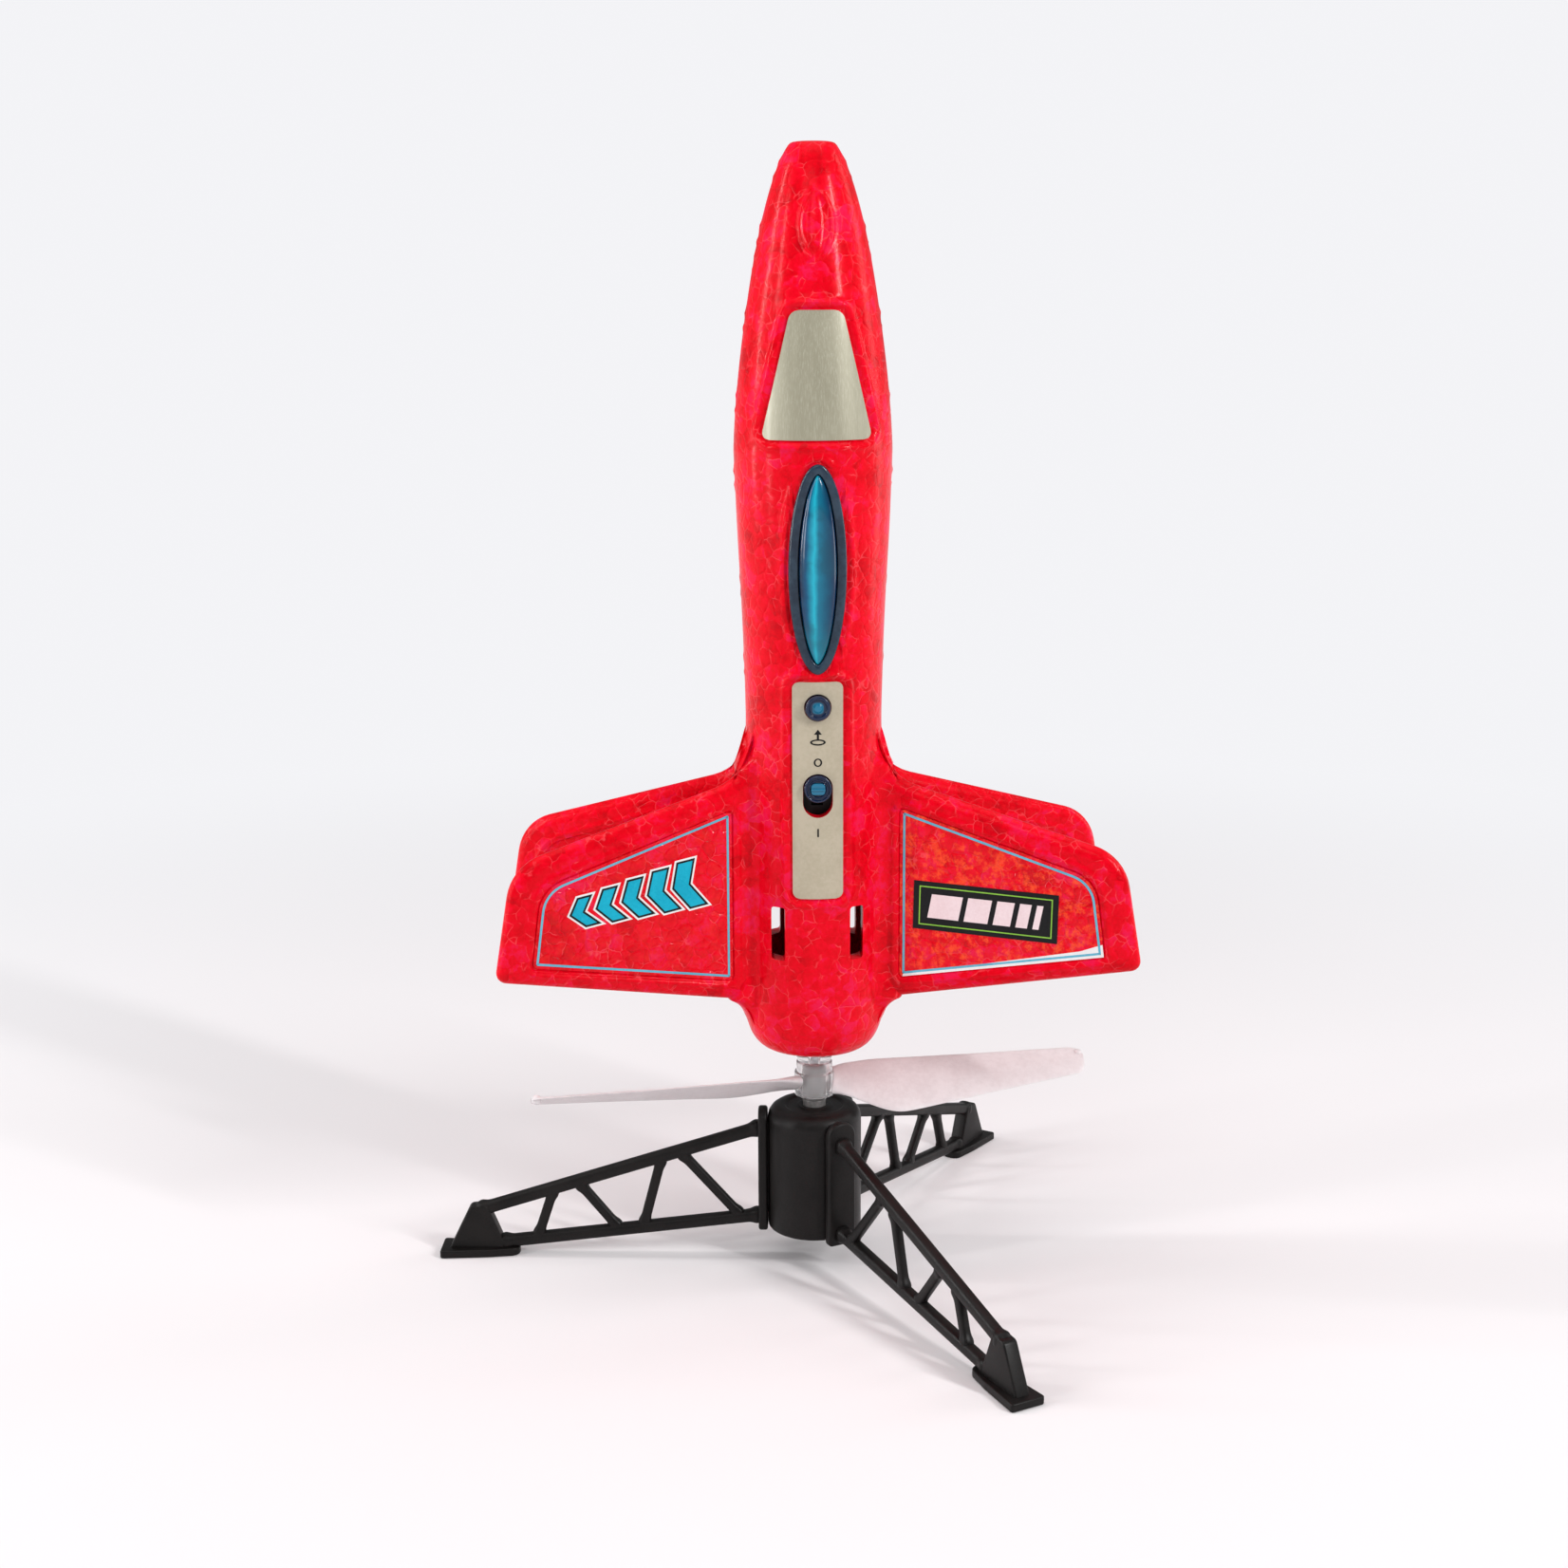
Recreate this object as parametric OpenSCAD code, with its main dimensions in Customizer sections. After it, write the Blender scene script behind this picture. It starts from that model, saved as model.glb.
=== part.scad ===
// Foam rocket toy with a motor-driven propeller under its tail, standing on a
// tripod launch stand. +Z is up and the floor is z = 0. The rocket's front
// faces -Y. All sizes are millimetres.

/* [Foam body] */
// Height of the body's lower edge above the floor
base_z = 56.5; // [56:0.1:57]
// Height of the nose tip above the floor
top_z = 273; // [265:0.5:280]
// Largest radius, at the shoulder under the windshield
shoulder_r = 18.8; // [18.4:0.1:20]
// Height of that shoulder
shoulder_z = 203; // [201:0.5:205]
// Radius at the waist, just above the fins
waist_r = 16.4; // [16.2:0.1:16.8]
// Height where the waist begins to widen
waist_z = 140; // [136:0.5:142]
// Radius at the tail, above its rounded lower edge
tail_r = 17.0; // [16.6:0.1:17.4]
// Radius of the flat spot on the nose tip
tip_r = 5.0; // [4:0.1:6]

/* [Fins] */
// Distance of each fin's tip from the axis
fin_tip = 80.6; // [76:0.2:86]
// Thickness of the foam fins
fin_t = 4.6; // [4:0.1:6]
// Angle of each fin off the side-to-side plane
fin_angle = 18; // [14:1:30]
// Depth of the sunk panel on each face of a fin
panel_depth = 0.6; // [0.3:0.1:1]

/* [Front details] */
// Half width of the canopy lens flange
flange_w = 6.85; // [6:0.05:8]
// Half height of the canopy lens flange
flange_h = 24.5; // [22:0.1:25]
// Height of the launch button's axis
button_z = 144.1; // [143:0.1:145]
// Radius of the launch button's cap
button_r = 2.95; // [2.5:0.05:3]
// Travel of the launch button
button_travel = 0.8; // [0.5:0.1:0.9]
// Radius of the power slide's knob
knob_r = 3.25; // [3:0.05:3.3]
// Height of the knob's axis, switched off
knob_z = 124.7; // [124:0.1:125]
// Travel of the power slide
knob_travel = 3.5; // [2.5:0.1:3.5]
// Height of the middle of the side vents
vent_z = 88.6; // [87:0.1:90]
// Sideways distance of each vent from the axis
vent_x = 9.4; // [9:0.1:9.8]

/* [Drive] */
// Radius of the propeller, axis to tip bead
prop_r = 71; // [65:0.5:75]
// Height of the propeller blades' middle
prop_z = 45.6; // [45:0.1:46]
// Direction of the blades from +X
prop_turn = 8; // [0:1:20]
// Pitch of the blades
prop_pitch = 30; // [20:1:36]
// Module of the two gears
gear_module = 0.5; // [0.5:0.1:0.5]
// Teeth on the main gear
gear_teeth = 26; // [26:1:26]
// Teeth on the motor pinion
pinion_teeth = 9; // [9:1:9]

/* [Launch stand] */
// Radius of the stand's hub
hub_r = 11.7; // [11.7:0.1:13]
// Height of the hub's underside
hub_z0 = 8.2; // [7.6:0.1:8.6]
// Height of the hub's top
hub_z1 = 40.3; // [39.8:0.1:40.6]
// Radius of the launch pin
pin_r = 2.9; // [2.5:0.05:2.9]
// Height of the launch pin's top
pin_top = 50.95; // [50:0.05:50.95]
// Distance of a leg's outer end from the axis
leg_reach = 95; // [90:0.5:100]
// Radius of a leg's two rounded chords
chord_r = 1.6; // [1.4:0.1:1.8]
// Radius of a leg's lattice struts
strut_r = 1.3; // [1.1:0.1:1.4]
// Direction of the front leg, from the front towards the right
leg_turn = 26; // [20:1:32]

/* [Hidden] */

// Place of the rocket's axis, so that the origin is under the middle of the box
axis_x = 9.0;
axis_y = 3.05;

$fn = 64;
film_t = 0.3;       // printed films
film_gap = 0.03;    // between a film and the foam under it
fit_gap = 0.3;      // between pieces that slide past each other
running_gap = 0.05; // radial clearance of a shaft in its bush
snug_gap = 0.01;    // radial clearance of a piece fixed on a shaft
eps = 0.01;

// Foam body: walls and cavity
cavity_r = 13;
floor_z = base_z + 4;
neck_hole_r = 5.1;
tail_round_h = 10;
tail_round_r = 6;

// Canopy lens and its lights
lens_z = 176.5;
dome_w = 4.4;
dome_h = 22;
flange_proud = 0.7;
dome_proud = 2.2;
led_board_y = -12;
led_spread = 11;
led_r = 1.45;
led_h = 1.6;

// Control panel
film_w = 6.05;
film_z0 = 97.8;
film_z1 = 150.2;
board_y = -10.2;
board_t = 1;
slot_r = knob_r + fit_gap;
slot_z0 = knob_z - knob_travel;
tact_w = 5.8;
tact_h = 2.3;
button_back = tact_h - board_y + fit_gap + button_travel;
button_t = 3.6;
button_bevel = 0.6;
knob_back = 13.4;
knob_t = 4;
slider_w = 2;

// Battery
battery_w = 18;
battery_t = 8;
battery_z = 100;
battery_h = 34;

// Drive train
gear_r = gear_module * gear_teeth / 2;
pinion_r = gear_module * pinion_teeth / 2;
motor_y = gear_r + pinion_r;
shaft_r = 1.0;
motor_shaft_r = 0.5;
motor_r = 3.5;
plate_r = 12.8;
plate_z = floor_z + 0.1;
deck_z = plate_z + 9.9;
plate_t = 2;
gear_z = plate_z + 4;
gear_t = 4;
bush_r = 2;
post_x = 9.5;
post_y = 5.5;
post_r = 1.2;
motor_h = 20;
collar_r = 2.2;
collar_t = 2;

// Charging socket, a little behind the middle plane on the right side
socket_z = 143;
socket_turn = 15;
socket_in = 10.8;
socket_len = 5.8;
socket_r = 2.2;
socket_bore = 1.2;

// Launch stand
plate_in = hub_r + 0.05;
leg_plate_t = 2.35;
leg_plate_w = 7.6;
leg_plate_z0 = 7.5;
leg_plate_z1 = 39.5;
tongue_w = 3.6;
tongue_in = 6.9;
tongue_z0 = 12;
tongue_z1 = 36;

// ---- helpers -------------------------------------------------------------

// Everything stands on the rocket's axis.
module on_axis() { translate([axis_x, axis_y, 0]) children(); }

// Point at t on a cubic curve with four control points.
function bezier(p, t) = p[0] * pow(1 - t, 3) + 3 * p[1] * t * pow(1 - t, 2)
    + 3 * p[2] * t * t * (1 - t) + p[3] * pow(t, 3);

// Arc that rounds corner b of the path a-b-c with radius r, in n steps.
function round_corner(a, b, c, r, n) =
    let (u = (a - b) / norm(a - b), w = (c - b) / norm(c - b),
         half = acos(u * w) / 2, mid = (u + w) / norm(u + w),
         centre = b + mid * r / sin(half),
         from = b + u * r / tan(half) - centre,
         to = b + w * r / tan(half) - centre,
         turn = 180 - 2 * half,
         side = sign(from[0] * to[1] - from[1] * to[0]))
    [for (i = [0:n]) let (q = side * turn * i / n)
        centre + [from[0] * cos(q) - from[1] * sin(q),
                  from[0] * sin(q) + from[1] * cos(q)]];

// Closed outline through corners [x, y, radius]; radius 0 stays sharp.
function rounded(corners, n = 6) =
    let (k = len(corners))
    [for (i = [0:k - 1])
        let (b = corners[i], a = corners[(i + k - 1) % k], c = corners[(i + 1) % k])
        each b[2] == 0 ? [[b[0], b[1]]]
            : round_corner([a[0], a[1]], [b[0], b[1]], [c[0], c[1]], b[2], n)];

// Hermite curve from 0 to 1 with start slope 0.3 and end slope 0.9.
function swell(t) = 0.3 * t * pow(1 - t, 2) + t * t * (3 - 2 * t) + 0.9 * t * t * (t - 1);

// Outline of the body as [radius, height], from the tail's lower edge upwards:
// a quarter ellipse, a straight taper, a swelling shoulder and a curved nose.
tail_top = base_z + tail_round_h;
nose_points = [[shoulder_r, shoulder_z], [shoulder_r - 0.5, shoulder_z + 17],
               [tip_r + 7.8, top_z - 9], [tip_r, top_z]];
hull_outline = concat(
    [for (q = [0:18:72]) [tail_r - tail_round_r * (1 - sin(q)),
                          tail_top - tail_round_h * cos(q)]],
    [for (i = [0:3]) [tail_r + (waist_r - tail_r) * i / 4,
                      tail_top + (waist_z - tail_top) * i / 4]],
    [for (i = [0:7]) [waist_r + (shoulder_r - waist_r) * swell(i / 8),
                      waist_z + (shoulder_z - waist_z) * i / 8]],
    [for (i = [0:12]) bezier(nose_points, i / 12)]);
hull_table = [for (p = hull_outline) [p[1], p[0]]];
function hull_r(z) = lookup(z, hull_table);

cavity_outline = [[0, top_z - 23], [9, top_z - 28], [14.6, shoulder_z + 2],
                  [14.6, shoulder_z - 23], [cavity_r, 152], [cavity_r, floor_z],
                  [neck_hole_r, floor_z], [neck_hole_r, base_z]];

// Wall of revolution that follows the body between two heights.
module skin(z0, z1, inner, outer, steps = 8) {
    rotate([0, 0, 180]) rotate_extrude(angle = 180) polygon(concat(
        [for (i = [0:steps]) let (z = z0 + (z1 - z0) * i / steps) [hull_r(z) + outer, z]],
        [for (i = [steps:-1:0]) let (z = z0 + (z1 - z0) * i / steps) [hull_r(z) + inner, z]]));
}

// Prism along Y over an outline in X and Z, in front of the axis.
module front_prism(outline) {
    rotate([90, 0, 0]) linear_extrude(height = 30) polygon(outline);
}

function oval(w, h, z, n = 40) = [for (i = [0:n - 1]) [w * cos(360 * i / n), z + h * sin(360 * i / n)]];

// ---- foam shells ---------------------------------------------------------

fin_outline = rounded([
    [15, waist_z + 2, 0], [15, 62, 0], [16.2, 62, 0], [16.2, 69.4, 5],
    [fin_tip, 81.2, 2.5], [fin_tip - 4.7, 108.8, 12], [16, 126, 10],
    [16, waist_z + 2, 0]]);

// Outline of the printed film on a fin; grow widens it to the sunk panel.
function film_outline(grow) = rounded([
    [22 - grow, 75.6 - grow, 1], [fin_tip - 8.7 + grow, 84.2 - grow, 1],
    [fin_tip - 11.3 + grow, 103 + grow, 8.4], [22 - grow, 118 + grow, 1]]);

// One fin in the +X half plane, with a sunk panel on each face.
module fin() {
    difference() {
        rotate([90, 0, 0]) linear_extrude(height = fin_t, center = true) polygon(fin_outline);
        for (side = [-1, 1])
            translate([0, side * (fin_t / 2 - panel_depth + 5), 0])
                rotate([90, 0, 0]) linear_extrude(height = 10, center = true)
                    polygon(film_outline(0.6));
    }
}

// Half of the foam body with its two fins, in front of the axis.
module half_shell() {
    rotate([0, 0, 180]) rotate_extrude(angle = 180)
        polygon(concat([[neck_hole_r, base_z]], hull_outline, [[0, top_z]],
                       [for (p = cavity_outline) if (p != [neck_hole_r, base_z]) p]));
    rotate([0, 0, -fin_angle]) fin();
    rotate([0, 0, 180 + fin_angle]) fin();
}

module vent_cuts() {
    for (side = [-1, 1])
        translate([side * vent_x - 1.6, -25, vent_z - 6.6]) cube([3.2, 25, 13.2]);
}

module slot_cut(r, z0, z1) {
    front_prism(rounded([[-r, z0 - r, r - eps], [r, z0 - r, r - eps],
                         [r, z1 + r, r - eps], [-r, z1 + r, r - eps]]));
}

module front_shell() {
    color([0.90, 0.05, 0.16]) on_axis() difference() {
        half_shell();
        vent_cuts();
        front_prism(oval(dome_w + 0.2, dome_h + 0.2, lens_z));
        translate([0, 0, button_z]) rotate([90, 0, 0]) cylinder(r = button_r + fit_gap, h = 30);
        slot_cut(slot_r, slot_z0, knob_z);
    }
}

module rear_shell() {
    color([0.88, 0.05, 0.16]) on_axis() difference() {
        rotate([0, 0, 180]) half_shell();
        rotate([0, 0, 180]) vent_cuts();
        socket_place() translate([0, 0, -5]) cylinder(r = socket_r + running_gap, h = 30);
    }
}

// ---- printed films and lens ----------------------------------------------

module windshield_film() {
    color([0.74, 0.72, 0.62]) on_axis() intersection() {
        skin(206.3, 235.4, film_gap, film_gap + film_t);
        front_prism(rounded([[-13.2, 206, 2], [13.2, 206, 2], [6.1, 235.6, 2], [-6.1, 235.6, 2]]));
    }
}

module control_film() {
    color([0.55, 0.60, 0.62]) on_axis() difference() {
        intersection() {
            skin(film_z0 - 1, film_z1 + 1, film_gap, film_gap + film_t);
            front_prism(rounded([[-film_w, film_z0, 1.2], [film_w, film_z0, 1.2],
                                 [film_w, film_z1, 1.2], [-film_w, film_z1, 1.2]]));
        }
        translate([0, 0, button_z]) rotate([90, 0, 0]) cylinder(r = button_r + fit_gap, h = 30);
        slot_cut(slot_r, slot_z0, knob_z);
    }
}

// Film lying in the sunk panel on the front face of a front fin.
module fin_film() {
    rotate([0, 0, -fin_angle]) translate([0, panel_depth - fin_t / 2 - film_gap, 0])
        rotate([90, 0, 0]) linear_extrude(height = film_t) polygon(film_outline(0));
}

module fin_film_right() {
    color([0.90, 0.15, 0.22]) on_axis() fin_film();
}

module fin_film_left() {
    color([0.90, 0.15, 0.22]) on_axis() mirror([1, 0, 0]) fin_film();
}

module canopy_lens() {
    color([0.10, 0.45, 0.50, 0.7]) on_axis() union() {
        intersection() {
            skin(lens_z - 26, lens_z + 26, film_gap, flange_proud);
            front_prism(oval(flange_w, flange_h, lens_z));
        }
        intersection() {
            skin(lens_z - 26, lens_z + 26, -1.5, dome_proud);
            front_prism(oval(dome_w, dome_h, lens_z));
        }
    }
}

// ---- lights, boards, battery ---------------------------------------------

module led_board() {
    color([0.10, 0.35, 0.18]) on_axis()
        translate([-4.5, led_board_y, lens_z - 17]) cube([9, board_t, 34]);
}

module led(z) {
    color([0.85, 0.90, 0.95]) on_axis() translate([0, led_board_y, z]) rotate([90, 0, 0]) {
        cylinder(r = led_r + 0.25, h = 0.6);
        cylinder(r = led_r, h = led_h);
        translate([0, 0, led_h]) intersection() {
            sphere(r = led_r);
            cylinder(r = 2 * led_r, h = 2 * led_r);
        }
    }
}

module led_upper() { led(lens_z + led_spread); }
module led_lower() { led(lens_z - led_spread); }

module main_board() {
    color([0.10, 0.35, 0.18]) on_axis()
        translate([-7, board_y, 104]) cube([14, board_t, 46]);
}

module tact_switch() {
    color([0.20, 0.20, 0.22]) on_axis() translate([0, board_y, button_z]) {
        translate([-tact_w / 2, -1.4, -tact_w / 2]) cube([tact_w, 1.4, tact_w]);
        rotate([90, 0, 0]) cylinder(r = 1.5, h = tact_h);
    }
}

module switch_body() {
    color([0.60, 0.60, 0.62]) on_axis() difference() {
        translate([-3.9, board_y - 2.1, slot_z0 - 4]) cube([7.8, 2.1, knob_travel + 8]);
        translate([-1.4, board_y - 3, slot_z0 - 1.4]) cube([2.8, 2.4, knob_travel + 2.8]);
    }
}

module battery() {
    color([0.75, 0.76, 0.78]) on_axis() translate([-battery_w / 2, -0.5, battery_z])
        linear_extrude(height = battery_h) polygon(rounded([[0, 0, 1.5], [battery_w, 0, 1.5],
            [battery_w, battery_t, 1.5], [0, battery_t, 1.5]]));
}

module battery_pad() {
    color([0.15, 0.15, 0.16]) on_axis()
        translate([-5, battery_t - 0.45, battery_z + 4]) cube([10, 3.2, battery_h - 8]);
}

// ---- drive ---------------------------------------------------------------

module motor_mount() {
    color([0.07, 0.07, 0.08]) on_axis() difference() {
        union() {
            translate([0, 0, plate_z]) cylinder(r = plate_r, h = plate_t);
            translate([0, 0, base_z + 0.2]) cylinder(r = neck_hole_r - 0.3, h = plate_z - base_z);
            translate([0, 0, deck_z]) cylinder(r = plate_r, h = plate_t);
            for (x = [-post_x, post_x], y = [-post_y, post_y])
                translate([x, y, plate_z + 1]) cylinder(r = post_r, h = deck_z - plate_z);
            translate([0, motor_y, deck_z + 1]) cylinder(r = motor_r + 0.5, h = 8);
        }
        translate([0, 0, base_z - 1]) cylinder(r = bush_r + snug_gap, h = 30);
        translate([0, motor_y, deck_z - 1]) cylinder(r = 1.2, h = 5);
        translate([0, motor_y, deck_z + plate_t]) cylinder(r = motor_r + snug_gap, h = 10);
    }
}

module bush(z, h) {
    color([0.80, 0.65, 0.30]) on_axis() translate([0, 0, z]) difference() {
        cylinder(r = bush_r, h = h);
        translate([0, 0, -1]) cylinder(r = shaft_r + running_gap, h = h + 2);
    }
}

module lower_bush() { bush(base_z + 0.2, plate_z + plate_t - base_z - 0.2); }
module upper_bush() { bush(deck_z, plate_t + 0.6); }

module motor() {
    color([0.72, 0.73, 0.75]) on_axis() translate([0, motor_y, deck_z + plate_t]) difference() {
        cylinder(r = motor_r, h = motor_h);
        translate([0, 0, -1]) cylinder(r = motor_shaft_r + running_gap, h = 7.5);
    }
}

module motor_shaft() {
    color([0.80, 0.80, 0.82]) on_axis() translate([0, motor_y, gear_z - 1])
        cylinder(r = motor_shaft_r, h = deck_z + plate_t - gear_z + 6);
}

// Spur gear with short straight-flanked teeth and a little backlash.
module gear(teeth, h, first, bore) {
    r = gear_module * teeth / 2;
    step = 360 / teeth;
    difference() {
        linear_extrude(height = h) polygon([for (i = [0:teeth - 1])
            for (k = [[-0.30, -1.1], [-0.10, 0.75], [0.10, 0.75], [0.30, -1.1]])
                let (q = first + (i + k[0]) * step, d = r + k[1] * gear_module)
                    [d * cos(q), d * sin(q)]]);
        translate([0, 0, -1]) cylinder(r = bore, h = h + 2);
    }
}

module main_gear() {
    color([0.92, 0.92, 0.90]) on_axis() {
        translate([0, 0, gear_z]) gear(gear_teeth, gear_t, 90, shaft_r + snug_gap);
        translate([0, 0, gear_z - 1.4]) difference() {
            cylinder(r = 2.6, h = 1.4);
            translate([0, 0, -1]) cylinder(r = shaft_r + snug_gap, h = 4);
        }
    }
}

module pinion() {
    color([0.85, 0.72, 0.35]) on_axis() translate([0, motor_y, gear_z - 0.4])
        gear(pinion_teeth, gear_t + 0.8, -90 + 180 / pinion_teeth, motor_shaft_r + snug_gap);
}

module prop_shaft() {
    color([0.80, 0.80, 0.82]) on_axis() translate([0, 0, pin_top + 0.6])
        cylinder(r = shaft_r, h = deck_z + 6 - pin_top);
}

module shaft_collar() {
    color([0.10, 0.10, 0.11]) on_axis() translate([0, 0, deck_z + plate_t + 0.7]) difference() {
        cylinder(r = collar_r, h = collar_t);
        translate([0, 0, -1]) cylinder(r = shaft_r + snug_gap, h = collar_t + 2);
    }
}

// One blade along +X: root to its widest place, then to the tip bead.
module blade() {
    module section(x, chord, shift, t)
        translate([x, 0, 0]) rotate([prop_pitch, 0, 0])
            translate([0, shift - chord / 2, -t / 2]) cube([0.4, chord, t]);
    hull() {
        section(3.4, 8, 0, 2);
        section(19, 17.5, -2, 1.2);
    }
    hull() {
        section(19, 17.5, -2, 1.2);
        section(prop_r - 5, 8.5, 1, 1);
    }
    translate([prop_r - 1.6, 0, 0]) sphere(r = 1.6, $fn = 32);
    translate([prop_r - 6, 0, 0]) rotate([0, 90, 0]) cylinder(r = 1.2, h = 4.6);
}

module propeller() {
    color([0.86, 0.90, 0.92, 0.75]) on_axis() difference() {
        union() {
            translate([0, 0, prop_z - 2.6]) cylinder(r = 4.96, h = 6);
            translate([0, 0, prop_z + 2]) cylinder(r = 4.46, h = 8);
            translate([0, 0, prop_z]) for (side = [0, 180]) rotate([0, 0, prop_turn + side]) blade();
        }
        translate([0, 0, 30]) cylinder(r = pin_r + 0.08, h = pin_top + 0.05 - 30);
        translate([0, 0, 40]) cylinder(r = shaft_r + snug_gap, h = 20);
    }
}

// ---- moving controls and charging socket ---------------------------------

module button_cap() {
    color([0.05, 0.40, 0.48]) on_axis() translate([0, 0, button_z]) rotate([90, 0, 0])
        translate([0, 0, button_back]) {
            cylinder(r = button_r, h = button_t);
            translate([0, 0, button_t]) cylinder(r1 = button_r, r2 = button_r - button_bevel, h = button_bevel);
        }
}

module slide_knob() {
    color([0.04, 0.05, 0.06]) on_axis() translate([0, 0, knob_z]) {
        rotate([90, 0, 0]) translate([0, 0, knob_back]) cylinder(r = knob_r, h = knob_t);
        translate([-slider_w / 2, -knob_back - 0.1, -slider_w / 2]) cube([slider_w, 2.2, slider_w]);
        translate([-2.4, -knob_back - knob_t - 0.6, -0.5]) cube([4.8, 1, 1]);
    }
}

module socket_place() {
    rotate([0, 0, socket_turn]) translate([socket_in, 0, socket_z]) rotate([0, 90, 0]) children();
}

module charging_socket() {
    color([0.05, 0.05, 0.06]) on_axis() socket_place() difference() {
        cylinder(r = socket_r, h = socket_len);
        translate([0, 0, 0.8]) cylinder(r = socket_bore, h = socket_len);
    }
}

// ---- launch stand --------------------------------------------------------

module launch_pin() {
    color([0.06, 0.06, 0.07]) on_axis() translate([0, 0, 28]) rotate_extrude()
        polygon([[0, 0], [pin_r, 0], [pin_r, pin_top - 28.6], [pin_r - 0.6, pin_top - 28], [0, pin_top - 28]]);
}

module stand_hub() {
    color([0.06, 0.06, 0.07]) on_axis() difference() {
        rotate_extrude() polygon(concat([[0, hub_z0], [hub_r - 0.8, hub_z0], [hub_r, hub_z0 + 0.8]],
            [for (q = [0:15:90]) [hub_r - 2.6 * (1 - cos(q)), hub_z1 - 2.6 * (1 - sin(q))]],
            [[0, hub_z1]]));
        translate([0, 0, 28]) cylinder(r = pin_r + snug_gap, h = 20);
        for (side = [0:2]) rotate([0, 0, leg_turn - 90 + 120 * side])
            translate([tongue_in - fit_gap, -tongue_w / 2 - 0.2, tongue_z0 - 0.2])
                cube([20, tongue_w + 0.4, tongue_z1 - tongue_z0 + 0.4]);
    }
}

// Rounded bar between two points [out, up] in a leg's plane.
module bar(a, b, r) {
    d = b - a;
    translate([a[0], 0, a[1]]) rotate([0, 90 - atan2(d[1], d[0]), 0]) cylinder(r = r, h = norm(d), $fn = 32);
}

// Middle lines of the lower and upper chord at a distance from the axis.
function lower_chord(x) = [x, 10.4 - 6.9 * (x - 15) / 60];
function upper_chord(x) = [x, 33.5 - 22.2 * (x - 15) / 71];

// One leg along +X: tongue and plate at the hub, lattice, gusset and foot.
module leg(side) {
    color([0.06, 0.06, 0.07]) on_axis() rotate([0, 0, leg_turn - 90 + 120 * side]) {
        translate([tongue_in, -tongue_w / 2, tongue_z0])
            cube([plate_in - tongue_in + 1, tongue_w, tongue_z1 - tongue_z0]);
        translate([plate_in, 0, 0]) rotate([90, 0, 90]) linear_extrude(height = leg_plate_t)
            polygon(rounded([[-leg_plate_w / 2, leg_plate_z0, 1], [leg_plate_w / 2, leg_plate_z0, 1],
                             [leg_plate_w / 2, leg_plate_z1, 3.7], [-leg_plate_w / 2, leg_plate_z1, 3.7]]));
        bar(lower_chord(13.5), lower_chord(80), chord_r);
        bar(upper_chord(13.5), upper_chord(86), chord_r);
        for (s = [[18.5, 34], [43.5, 38.5], [49.5, 60], [70.5, 66]])
            bar(lower_chord(s[0]), upper_chord(s[1]), strut_r);
        rotate([90, 0, 0]) linear_extrude(height = 3, center = true)
            polygon(rounded([[75.5, 1, 0], [93.2, 1, 0], [87.4, 12.9, 1.4], [83, 13.4, 1.2]]));
        linear_extrude(height = 2) polygon(rounded([[leg_reach, -4.5, 0.8], [leg_reach, 4.5, 0.8],
            [leg_reach - 12, 3.6, 4], [leg_reach - 20, 2.4, 2.3], [leg_reach - 20, -2.4, 2.3],
            [leg_reach - 12, -3.6, 4]]));
    }
}

module leg_front() { leg(0); }
module leg_rear() { leg(1); }
module leg_side() { leg(2); }

// ---- the whole -----------------------------------------------------------

stand_hub();
launch_pin();
leg_front();
leg_rear();
leg_side();
front_shell();
rear_shell();
windshield_film();
control_film();
fin_film_left();
fin_film_right();
canopy_lens();
led_board();
led_upper();
led_lower();
main_board();
tact_switch();
switch_body();
battery();
battery_pad();
motor_mount();
motor();
lower_bush();
upper_bush();
charging_socket();
propeller();
prop_shaft();
main_gear();
shaft_collar();
motor_shaft();
pinion();
button_cap();
slide_knob();
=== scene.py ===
"""Foam rocket toy on its launch stand: every visible surface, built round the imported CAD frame.

Sizes are millimetres, measured from the rocket's axis and from the floor, and the front faces -Y.
A mesh is moved to the frame's place and turned into metres only when it is built.
"""

import logging
import math
from collections.abc import Callable, Iterable, Sequence
from dataclasses import dataclass, field
from enum import Enum

import bmesh
import bpy
import numpy as np
from mathutils import Matrix, Vector


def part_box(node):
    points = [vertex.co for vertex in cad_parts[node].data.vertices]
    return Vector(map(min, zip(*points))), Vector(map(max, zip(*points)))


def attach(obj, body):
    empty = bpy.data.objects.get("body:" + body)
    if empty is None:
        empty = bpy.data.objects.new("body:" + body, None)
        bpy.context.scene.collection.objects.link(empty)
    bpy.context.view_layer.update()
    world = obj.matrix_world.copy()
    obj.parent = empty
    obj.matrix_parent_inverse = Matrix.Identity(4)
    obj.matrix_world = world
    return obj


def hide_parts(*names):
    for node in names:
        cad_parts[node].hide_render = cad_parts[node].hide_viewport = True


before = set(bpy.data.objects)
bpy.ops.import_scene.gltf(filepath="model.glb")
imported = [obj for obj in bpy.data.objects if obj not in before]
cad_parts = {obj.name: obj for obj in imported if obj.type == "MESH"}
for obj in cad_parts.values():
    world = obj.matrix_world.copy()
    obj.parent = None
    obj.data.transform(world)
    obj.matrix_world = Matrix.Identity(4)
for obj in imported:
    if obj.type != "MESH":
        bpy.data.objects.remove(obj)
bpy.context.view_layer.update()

LOG = logging.getLogger("rocket")
MM = 0.001
WELD = 1e-6
Colour = tuple[float, float, float]
Lift = Callable[[np.ndarray, np.ndarray, float], np.ndarray]


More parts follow.
